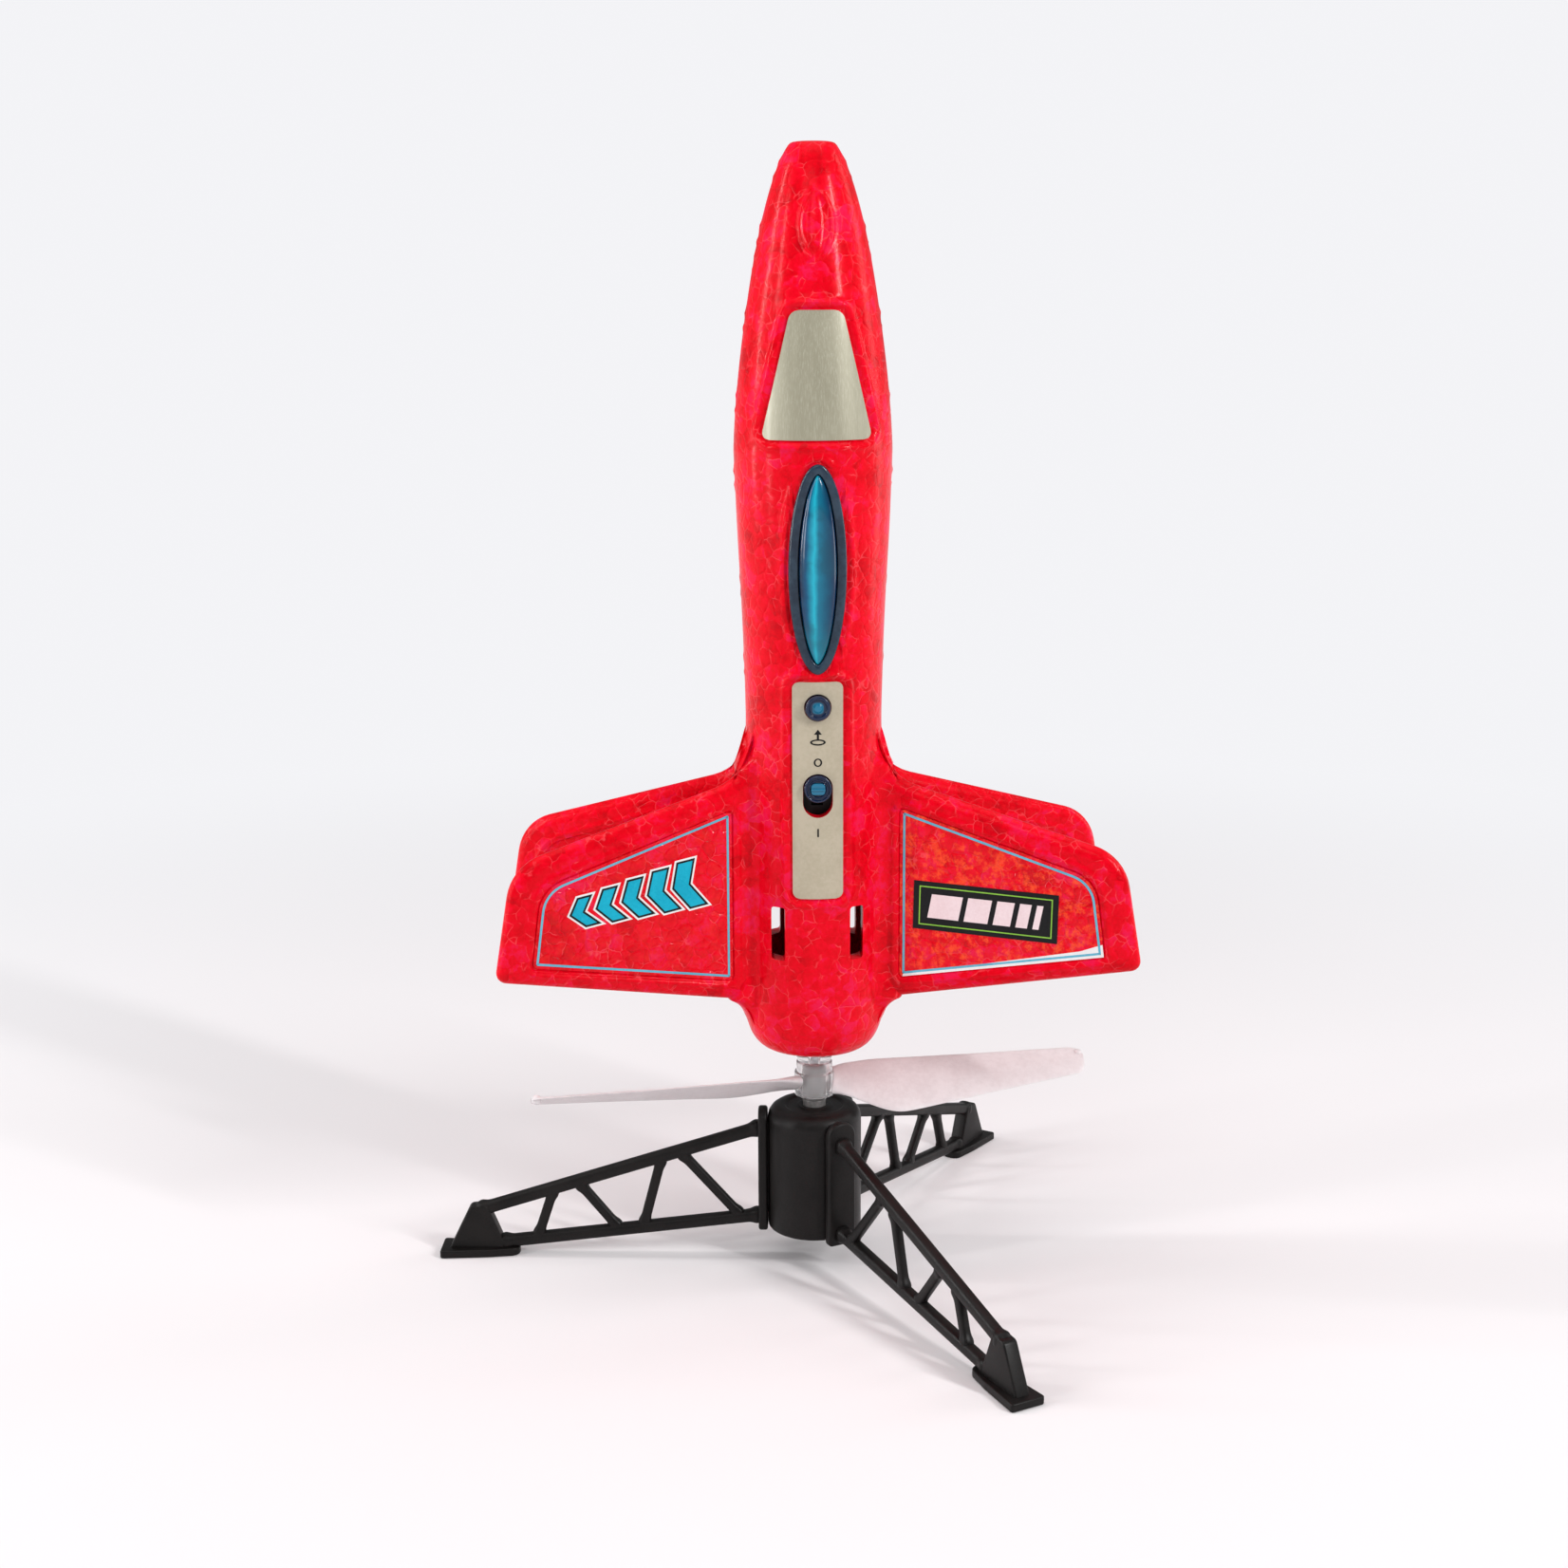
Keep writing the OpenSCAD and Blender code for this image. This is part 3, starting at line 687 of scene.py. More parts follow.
@dataclass(frozen=True)
class PaintedGlowCap(Finish):
    """Deep tinted plastic with a painted glow: a lighter blob painted in the middle, seen from the front.

    Attributes:
        name: Name of the material.
        height: Height of the blob's middle.
        half: Half width and half height of the blob.
        soft: Width of its soft edge, as a share of its size.
        dark: Colour round it.
        light: Colour of the blob, the painted glow.
    """

    name: str
    height: float
    half: tuple[float, float]
    soft: float = 0.5
    dark: Colour = (0.004, 0.012, 0.045)
    light: Colour = (0.006, 0.15, 0.27)

    def make(self, g: Graph) -> bpy.types.Material:
        """Builds the nodes: the painted glow's blob is where the sum of both scaled distances to the 4th is under 1."""
        x, _, z = g.node("SeparateXYZ", {0: g.place}).outputs
        u = g.sum("POWER", g.sum("ABSOLUTE", g.sum("DIVIDE", x, self.half[0]), 0), 3.0)
        v = g.sum("ABSOLUTE", g.sum("DIVIDE", g.sum("SUBTRACT", z, self.height), self.half[1]), 0)
        size = g.sum("ADD", u, g.sum("POWER", v, 3.0))
        cloud = g.sum("MULTIPLY_ADD", g.noise(0.9, 2.0), 0.35, size)
        share = g.between(cloud, 1.15 - self.soft, 1.15 + self.soft, 1.0, 0.0)
        # Painted glow: the lighter colour is mixed into the middle of the cap.
        tone = g.mix(share, self.dark, self.light)
        return g.surface(tone, g.between(cloud, 0.0, 3.0, 0.10, 0.22), g.bump(g.noise(1.2, 2.0), 0.012, 0.6),
                         Specular_IOR_Level=0.3, Coat_Weight=0.4, Coat_Roughness=0.05)


@dataclass(frozen=True)
class TealDome(Finish):
    """Clear teal lens dome with painted light and shade: deep blue painted shade at its edges, a bright upright band
    that is a painted highlight, painted light low down, and dim spots inside.

    Attributes:
        name: Name of the material.
        half_width: Half width of the dome in millimetres.
        middle: Height of its middle.
        half_height: Half height of the dome.
    """

    name: str = "teal_dome"
    half_width: float = 4.4
    middle: float = 176.5
    half_height: float = 22.0

    def make(self, g: Graph) -> bpy.types.Material:
        """Builds the nodes."""
        x, _, z = g.node("SeparateXYZ", {0: g.place}).outputs
        up = g.sum("DIVIDE", g.sum("SUBTRACT", z, self.middle), self.half_height)
        room = g.sum("SQRT", g.sum("MAXIMUM", g.sum("MULTIPLY_ADD", g.sum("MULTIPLY", up, up), -1.0, 1.02), 0.02), 0)
        across = g.sum("DIVIDE", g.sum("DIVIDE", x, self.half_width), room)
        bent = g.sum("MULTIPLY_ADD", g.noise(0.25, 2.0), 0.28, g.sum("ADD", across, 0.86))
        # Painted light and shade across the dome: deep blue painted shade at both edges, and a bright painted highlight
        # band a little left of the middle.
        tone = g.ramp(g.sum("MULTIPLY", bent, 0.5), (0.03, (0.001, 0.010, 0.040)), (0.18, (0.002, 0.075, 0.17)),
                      (0.38, (0.012, 0.42, 0.56)), (0.50, (0.003, 0.16, 0.26)), (0.72, (0.001, 0.080, 0.155)),
                      (0.92, (0.001, 0.020, 0.065)))
        murk = g.between(g.noise(0.16, 3.0), 0.50, 0.64)
        tone = g.mix(g.sum("MULTIPLY", murk, 0.38), tone, (0.004, 0.050, 0.085))
        # Painted light: the dome's lower part is painted a lighter teal.
        low = g.between(up, -0.95, -0.45, 0.30, 0.0)
        tone = g.mix(low, tone, (0.005, 0.30, 0.38))
        return g.surface(tone, g.between(murk, 0.0, 1.0, 0.16, 0.24), g.bump(g.noise(0.22, 2.0), 0.05, 0.5),
                         Specular_IOR_Level=0.2, Coat_Weight=0.35, Coat_Roughness=0.05)


@dataclass(frozen=True)
class StudioFloor(Finish):
    """Pale seamless floor that brightens into the backdrop away from the object.

    Attributes:
        name: Name of the material.
        near: Colour of the floor.
        far: Colour of the backdrop.
        start: Distance in millimetres where the floor begins to brighten.
        end: Distance where it is all backdrop.
    """

    name: str = "studio_floor"
    near: Colour = (0.82, 0.79, 0.80)
    far: Colour = (0.90, 0.90, 0.925)
    start: float = 120.0
    end: float = 640.0

    def make(self, g: Graph) -> bpy.types.Material:
        """Builds the nodes: paint near the object, and an even glow far from it."""
        away = g.node("VectorMath", {0: g.place}, operation="LENGTH").outputs["Value"]
        share = g.between(away, self.start, self.end)
        tone = g.mix(g.between(g.noise(0.004, 3.0), 0.3, 0.7), self.near, tuple(0.985 * c for c in self.near))
        paint = g.node("BsdfDiffuse", {"Color": tone})
        glow = g.node("Emission", {"Color": (*self.far, 1), "Strength": 1.0})
        both = g.node("MixShader", {0: share, 1: paint.outputs[0], 2: glow.outputs[0]})
        g.node("OutputMaterial", {0: both.outputs[0]})
        return g.made


FOAM = BeadFoam()
# The left and right copies differ only in their painted glint, which is much stronger on the right.
FILMED_FOAM = {"left": BeadFoam("film_over_foam_left", film=True, glint=0.10),
               "right": BeadFoam("film_over_foam_right", film=True, glint=0.85)}
BLACK = Moulded("satin_black", (0.0045, 0.0038, 0.0036), (0.0095, 0.008, 0.0076), 0.42, 0.06, 2.2, 0.022, shine=0.20)
# Near-black: the charging socket's own colour, and painted shade on the switch body, which darkens the slot in front of
# it.
BLACK_AND_SLOT_SHADE = Moulded("black_and_slot_shade", (0.003, 0.003, 0.003), (0.006, 0.006, 0.006), 0.5, shine=0.25)
PIN = Moulded("smoked_pin", (0.16, 0.155, 0.15), (0.26, 0.25, 0.245), 0.34, metal=0.35)
INK = Moulded("black_ink", (0.004, 0.004, 0.005), (0.008, 0.008, 0.009), 0.35, shine=0.2)
BLUE_LINE = Moulded("pale_blue_ink", (0.105, 0.40, 0.55), (0.15, 0.47, 0.62), 0.30, shine=0.2)
TURQUOISE = Moulded("turquoise_ink", (0.0, 0.36, 0.52), (0.005, 0.43, 0.60), 0.30, shine=0.2)
WHITE_INK = Moulded("white_ink", (0.78, 0.77, 0.77), (0.85, 0.84, 0.84), 0.32, shine=0.2)
PINK_INK = Moulded("pale_pink_ink", (0.80, 0.62, 0.64), (0.86, 0.70, 0.72), 0.32, shine=0.2)
GREEN_LINE = Moulded("green_ink", (0.22, 0.50, 0.05), (0.28, 0.58, 0.07), 0.35, shine=0.2)
PANEL = Moulded("control_print", (0.430, 0.375, 0.275), (0.490, 0.430, 0.325), 0.42, 0.05, 1.1, 0.01, shine=0.25)
FLANGE = Moulded("smoked_flange", (0.006, 0.016, 0.034), (0.020, 0.042, 0.070), 0.20, 0.05, 0.7, 0.02, coat=0.25,
                 shine=0.3)
FROSTED = Moulded("frosted_blade", (0.80, 0.745, 0.755), (0.88, 0.835, 0.845), 0.42, 0.06, 0.8, 0.01, through=0.18,
                  bend=1.30)
CLEAR = Moulded("clear_hub", (0.94, 0.94, 0.95), (0.98, 0.98, 0.98), 0.10, 0.03, 0.7, 0.01, through=0.88, bend=1.40)
WHITE = Moulded("white_nylon", (0.74, 0.73, 0.70), (0.82, 0.81, 0.79), 0.42)
STEEL = Moulded("ground_steel", (0.50, 0.50, 0.52), (0.62, 0.62, 0.64), 0.26, 0.06, 2.5, 0.01, metal=1.0, stretch=6)
BRONZE = Moulded("bush_bronze", (0.55, 0.36, 0.13), (0.66, 0.45, 0.18), 0.30, 0.06, metal=1.0)
BOARD = Moulded("board_green", (0.010, 0.10, 0.035), (0.016, 0.15, 0.055), 0.34, 0.06, 0.9, coat=0.3)
RESIN = Moulded("lamp_resin", (0.75, 0.82, 0.88), (0.85, 0.90, 0.94), 0.10, 0.03, 0.6, 0.01, through=0.7)
TINPLATE = Moulded("switch_metal", (0.42, 0.42, 0.43), (0.55, 0.55, 0.56), 0.32, 0.07, 2.0, metal=0.9)
WRAP = Moulded("battery_wrap", (0.50, 0.51, 0.54), (0.62, 0.63, 0.66), 0.30, 0.08, 0.6, 0.05, metal=0.6)
PAD = Moulded("foam_pad", (0.010, 0.010, 0.011), (0.024, 0.024, 0.026), 0.85, 0.05, 3.0, 0.15)


# ---- foam body ----------------------------------------------------------------------------


@dataclass
class Hull:
    """Outline of revolution of the foam body, and the cavity inside it."""

    base_z: float = 56.5
    tail_r: float = 17.0
    tail_round_r: float = 6.0
    tail_round_h: float = 10.0
    waist_r: float = 16.4
    waist_z: float = 140.0
    shoulder_r: float = 18.8
    shoulder_z: float = 203.0
    tip_r: float = 5.0
    top_z: float = 273.0
    neck_r: float = 5.1
    floor_z: float = 60.5
    cavity_knots: tuple[tuple[float, float], ...] = (
        (60.5, 13.0), (152.0, 13.0), (180.0, 14.6), (205.0, 14.6), (245.0, 9.0), (250.0, 0.0))
    at: np.ndarray = field(init=False)
    reach: np.ndarray = field(init=False)

    def __post_init__(self) -> None:
        """Works out the outline: a quarter ellipse, a taper, a swelling shoulder and a curved nose."""
        q = np.linspace(0, math.pi / 2, 60)
        tail = np.stack([self.base_z + self.tail_round_h * (1 - np.cos(q)),
                         self.tail_r - self.tail_round_r * (1 - np.sin(q))])
        t = np.linspace(0, 1, 120)
        swell = 0.3 * t * (1 - t) ** 2 + t * t * (3 - 2 * t) + 0.9 * t * t * (t - 1)
        chest = np.stack([self.waist_z + (self.shoulder_z - self.waist_z) * t,
                          self.waist_r + (self.shoulder_r - self.waist_r) * swell])
        ends = np.array([(self.shoulder_z, self.shoulder_r), (self.shoulder_z + 17, self.shoulder_r - 0.5),
                         (self.top_z - 9, self.tip_r + 7.8), (self.top_z, self.tip_r)])
        weight = np.stack([(1 - t) ** 3, 3 * t * (1 - t) ** 2, 3 * t * t * (1 - t), t ** 3])
        nose = ends.T @ weight
        self.at, self.reach = np.hstack([tail, chest, nose[:, 1:]])

    def radius(self, z: np.ndarray) -> np.ndarray:
        """Outer radius at a height."""
        return np.interp(z, self.at, self.reach)

    def cavity(self, z: np.ndarray) -> np.ndarray:
        """Radius of the cavity at a height."""
        return np.interp(z, *np.array(self.cavity_knots).T)


HULL = Hull()


def trapezoid(low: float, high: float, wide: float, narrow: float, corner: float) -> np.ndarray:
    """Closed outline of an upright trapezoid with round corners, centred on the front."""
    corners = [(-wide, low, corner), (wide, low, corner), (narrow, high, corner), (-narrow, high, corner)]
    return rounded_outline(corners, 6).reshape(-1, 2)


@dataclass(frozen=True)
class PrintedPanel:
    """A film let into the front of the body, between two heights, centred on the front."""

    name: str
    node: str
    low: float
    high: float
    half_low: float
    half_high: float
    corner: float
    holes: tuple[Hole, ...] = ()
    thick: float = 0.24
    sunk: float = 0.30

    def outline(self, grow: float = 0.0) -> np.ndarray:
        """Closed outline, grown by a distance."""
        plain = trapezoid(self.low, self.high, self.half_low, self.half_high, self.corner)
        return inset(plain, -grow) if grow else plain

    def half_width(self, z: np.ndarray) -> np.ndarray:
        """Half width at a height: straight sides, less a circle's sagitta within a corner of each end."""
        sides = np.interp(z, [self.low, self.high], [self.half_low, self.half_high])
        gap = np.clip(np.minimum(z - self.low, self.high - z), 0, self.corner)
        return sides - self.corner + np.sqrt(self.corner ** 2 - (self.corner - gap) ** 2)

    def lift(self, t: np.ndarray, z: np.ndarray, height: float) -> np.ndarray:
        """Places a point so far above the bottom of the film's recess."""
        r = HULL.radius(z) - self.sunk + height
        return np.stack([t, -np.sqrt(np.maximum(r * r - t * t, 0)), z], -1)

    def build(self, finish: Finish, slot: str) -> bpy.types.Object:
        """Makes the film: two close grids, rows at heights and columns at shares of the half width."""
        ends = stations((0, self.corner, 0.22), (self.corner, self.high - self.low - self.corner, 1.0),
                        (self.high - self.low - self.corner, self.high - self.low, 0.22))
        z = np.repeat((self.low + ends)[:, None], 41, 1)
        t = np.linspace(-1, 1, 41) * self.half_width(z)
        skin = Skin()
        blocks = [hole.window(t, z) for hole in self.holes]
        rims, sides = [], []
        for height in (0.02, self.thick):
            ids = skin.add(self.lift(t, z, height))
            skin.sheet(ids, keep=keep_outside(ids.shape, blocks))
            rims.append([hole.cut(skin, ids, t, z, block, lambda a, b, h=height: self.lift(a, b, h))
                         for hole, block in zip(self.holes, blocks)])
            sides.append(np.concatenate([ids[0], ids[1:, -1], ids[-1, -2::-1], ids[-2:0:-1, 0]]))
        skin.strip(*sides)
        for low, high in zip(*rims):
            skin.strip(low, high)
        return skin.build(self.name, finish, "rocket", slot, [self.node])


BUTTON_HOLE = Hole(0.0, 144.1, (0.0, 0.0), 3.25, margin=1.2)
SLOT_HOLE = Hole(0.0, 122.95, (0.0, 1.75), 3.55, margin=1.2)
WINDSHIELD = PrintedPanel("windshield_print", "windshield_film", 206.3, 235.4, 12.9, 6.0, 2.0)
CONTROLS = PrintedPanel("control_print", "control_film", 97.8, 150.2, 6.0, 6.0, 1.7, (BUTTON_HOLE, SLOT_HOLE))


class Half(Enum):
    """The two moulded halves of the body, each with the direction of its middle in radians."""

    FRONT = 0.0
    REAR = math.pi


@dataclass
class FoamBody:
    """The two foam halves, glued along the seam at the sides.

    Attributes:
        lens_half: Half width and half height of the lens flange.
        lens_z: Height of the lens's middle.
        emblem_z: Height of the raised almond on the nose.
        flash: Height and size of each small lump of flash along the seam.
        straight: Width within which the cavity's columns stand straight behind the outer ones.
    """

    lens_half: tuple[float, float] = (6.85, 24.5)
    lens_z: float = 176.5
    emblem_z: float = 254.2
    flash: tuple[tuple[float, float], ...] = (
        (267.0, 0.45), (252.5, 0.55), (246.0, 0.30), (233.0, 0.50), (214.0, 0.45), (196.5, 0.55), (171.0, 0.35),
        (152.0, 0.40))
    straight: float = 11.2

    def details(self, x: np.ndarray, z: np.ndarray) -> np.ndarray:
        """Height of the moulded details on the front.

        Round each film: a sunk floor, a groove at the film's edge and a raised lip outside it. Round
        the lens: a groove and a low lip. On the nose: two bowed ridges that meet in points, on the
        line |x| = 3.6 (1 - 0.86 u squared).

        Args:
            x: Sideways places.
            z: Heights.

        Returns:
            The height over the plain body.
        """
        height = np.zeros_like(x)
        for panel in (WINDSHIELD, CONTROLS):
            near = (z > panel.low - 6) & (z < panel.high + 6)
            away = signed_distance(x[near], z[near], panel.outline(0.12))
            height[near] += -panel.sunk * (1 - smooth(-0.10, 0.28, away)) - 0.42 * bell(away - 0.25, 0.36)
            height[near] += 0.62 * bell(away - 1.60, 0.72)
        near = np.abs(z - self.lens_z) < self.lens_half[1] + 6
        away = signed_distance(x[near], z[near], oval(*self.lens_half, self.lens_z, 90))
        height[near] += 0.40 * bell(away - 1.4, 0.8) - 0.45 * bell(away - 0.30, 0.38)
        u = (z - self.emblem_z) / 8.6
        bow = 3.6 * np.clip(1 - 0.86 * u * u, 0, 1)
        height += 0.55 * bell(np.abs(x) - bow, 0.48) * smooth(1.02, 0.70, np.abs(u))
        height -= 0.20 * bell(np.abs(x) - 0.55 * bow, 0.55) * smooth(0.95, 0.60, np.abs(u))
        return height

    def outer(self, half: Half, phi: np.ndarray, r: np.ndarray, z: np.ndarray) -> np.ndarray:
        """Places points of the outer skin: the outline's radius plus the relief, at an angle from the front.

        Args:
            half: Which half.
            phi: Angles from the half's middle.
            r: Plain radii.
            z: Heights.

        Returns:
            Points in space.
        """
        phi, r, z = np.broadcast_arrays(phi, r, z)
        seam = r * (math.pi / 2 - np.abs(phi))
        web = self.fillet(z - 62.2, 8.5, 0.93) * smooth(82, 70.5, z)
        web += self.fillet(136.0 - z, 13.0, 0.62) * smooth(117, 127, z)
        relief = 0.05 * np.sin(z / 5.3 + 3 * phi) + 0.04 * np.sin(r * phi / 3.9 + z / 9.1)
        relief = relief * smooth(0, 3, seam) - 0.26 * bell(seam, 0.42) + web * smooth(0.96, 1.22, np.abs(phi))
        for height, size in self.flash:
            relief += 0.7 * size * bell(z - height - 1.7 * np.sign(phi), 0.9) * bell(seam, 1.3)
        if half is Half.FRONT:
            relief += self.details(r * np.sin(phi), z) * (np.abs(phi) < 1.4)
        reach = r + relief * np.clip(r / 6.0, 0, 1) ** 3
        turn = phi + half.value
        return np.stack([reach * np.sin(turn), -reach * np.cos(turn), z], -1)

    @staticmethod
    def fillet(rise: np.ndarray, radius: float, limit: float) -> np.ndarray:
        """How far a quarter-circle fillet stands out at a distance along the wall from its start."""
        along = np.clip(rise, 0, limit * radius)
        return radius - np.sqrt(radius ** 2 - along ** 2)

    def cavity_angle(self, phi: np.ndarray, z: np.ndarray, r_in: np.ndarray) -> np.ndarray:
        """Angle of the cavity's point behind an outer one: straight behind it at the vents, else the same."""
        x = HULL.radius(z) * np.sin(phi)
        spare = np.maximum(r_in - self.straight, 0.01) / (HULL.radius(z) - self.straight)
        mapped = np.minimum(np.abs(x), self.straight) + np.maximum(np.abs(x) - self.straight, 0) * spare
        behind = np.arcsin(np.clip(np.sign(x) * mapped / np.maximum(r_in, 0.1), -1, 1))
        return phi + (behind - phi) * smooth(70, 76, z) * smooth(107, 101, z)

    def shell(self, half: Half) -> None:
        """Makes one half: outer skin, cavity, seam faces and openings, all one closed wall.

        Args:
            half: Which half.
        """
        front = half is Half.FRONT
        q = np.linspace(0, math.pi / 2, 13)
        tail_z = np.sort(np.append(HULL.base_z + HULL.tail_round_h * (1 - np.cos(q)),
                                   [HULL.floor_z - 0.01, HULL.floor_z + 0.01]))
        fine = 0.45 if front else 1.0
        body_z = stations((66.5, 71.5, 0.5), (71.5, 79, 1.2), (79, 95, 0.9), (95, 101, fine), (101, 146.5, 1.0), (146.5, 156, fine),
                          (156, 197, 1.0), (197, 203, fine), (203, 238.5, fine), (238.5, 244.5, 1.0),
                          (244.5, 262.5, fine), (262.5, 272.2, 0.7))[1:]
        z = np.concatenate([tail_z, body_z, [272.62, 272.86, 272.97, 273, 273, 273]])
        r = np.concatenate([HULL.radius(tail_z), HULL.radius(body_z), [5.2, 4.6, 3.9, 3.0, 1.5, 0.0]])
        degree = 1.05 if front else 1.7
        columns = np.radians(stations((-90, -86, 1), (-86, -58, 2.6), (-58, 58, degree), (58, 86, 2.6), (86, 90, 1)))
        phi, zz = np.meshgrid(columns, z)
        rr = np.repeat(r[:, None], len(columns), 1)
        skin = Skin()
        outside = skin.add(self.outer(half, phi, rr, zz))
        inner_z = np.clip(np.where(z < HULL.floor_z, np.minimum(z, HULL.floor_z - 0.001), z), None, 250.0)
        r_in = np.where(z < HULL.floor_z, HULL.neck_r, HULL.cavity(inner_z))
        r_grid, z_grid = (np.repeat(a[:, None], len(columns), 1) for a in (r_in, inner_z))
        behind = self.cavity_angle(phi, z_grid, r_grid)
        inside = skin.add(self.inner(half, behind, r_grid, z_grid))
        blocks = []
        for hole in self.holes(half):
            t_out, t_in = rr * np.sin(phi - hole.turn), r_grid * np.sin(behind - hole.turn)
            t_out = np.where(np.abs(phi - hole.turn) < 1.5, t_out, 99.0)
            block = hole.window(t_out, zz)
            blocks.append(block)
            rim = hole.cut(skin, outside, t_out, zz, block, lambda t, h, a=hole.turn: self.outer(
                half, a + np.arcsin(np.clip(t / HULL.radius(h), -1, 1)), HULL.radius(h), h))
            back = hole.cut(skin, inside, t_in, z_grid, block, lambda t, h, a=hole.turn: self.inner(
                half, a + np.arcsin(np.clip(t / HULL.cavity(h), -1, 1)), HULL.cavity(h), h))
            skin.strip(rim, back)
        keep = keep_outside(outside.shape, blocks)
        skin.sheet(outside, keep=keep)
        skin.sheet(inside, keep=keep)
        skin.strip(outside[0], inside[0], wrap=False)
        for side in (0, -1):
            skin.strip(outside[:, side], inside[:, side], wrap=False)
        node = "front_shell" if front else "rear_shell"
        skin.build(node.replace("shell", "foam_body"), FOAM, "rocket", "foam", [node])

    def inner(self, half: Half, phi: np.ndarray, r: np.ndarray, z: np.ndarray) -> np.ndarray:
        """Places points of the cavity's wall."""
        turn = phi + half.value
        return np.stack(np.broadcast_arrays(r * np.sin(turn), -r * np.cos(turn), z), -1)

    def holes(self, half: Half) -> list[Hole]:
        """Lists the openings of a half: vents in both, controls and lens in front, a socket behind."""
        vents = [Hole(side * 9.4, 88.6, (0.9, 5.9), 0.7, margin=0.9) for side in (-1, 1)]
        if half is Half.REAR:
            return [*vents, Hole(0.0, 143.0, (0.0, 0.0), 2.25, margin=1.8, turn=math.radians(-75))]
        lens = Hole(0.0, self.lens_z, (4.6, 22.2), margin=1.5, shape=HoleShape.OVAL)
        return [*vents, BUTTON_HOLE, SLOT_HOLE, lens]

    def build(self) -> None:
        """Makes both halves."""
        for half in Half:
            self.shell(half)


# ---- fins ---------------------------------------------------------------------------------


@dataclass(frozen=True)
class Direction:
    """Which way a fin points, and which of its faces looks to the front.

    Attributes:
        name: Name of the side.
        degrees: Angle of the fin from +X.
        side: 1 where the front face is on the clockwise side, -1 on the other.
    """

    name: str
    degrees: float
    side: float

    def lift(self, rho: np.ndarray, z: np.ndarray, height: float | np.ndarray) -> np.ndarray:
        """Places a distance from the axis, a height above the floor, and a height off the middle plane."""
        a = math.radians(self.degrees)
        out, normal = (math.cos(a), math.sin(a)), (math.sin(a) * self.side, -math.cos(a) * self.side)
        return np.stack([rho * out[0] + height * normal[0], rho * out[1] + height * normal[1],
                         np.broadcast_to(z, np.shape(rho))], -1)


RIGHT_FRONT = Direction("right", -18.0, 1.0)
LEFT_FRONT = Direction("left", 198.0, -1.0)
RIGHT_REAR = Direction("right", 18.0, 1.0)
LEFT_REAR = Direction("left", 162.0, -1.0)


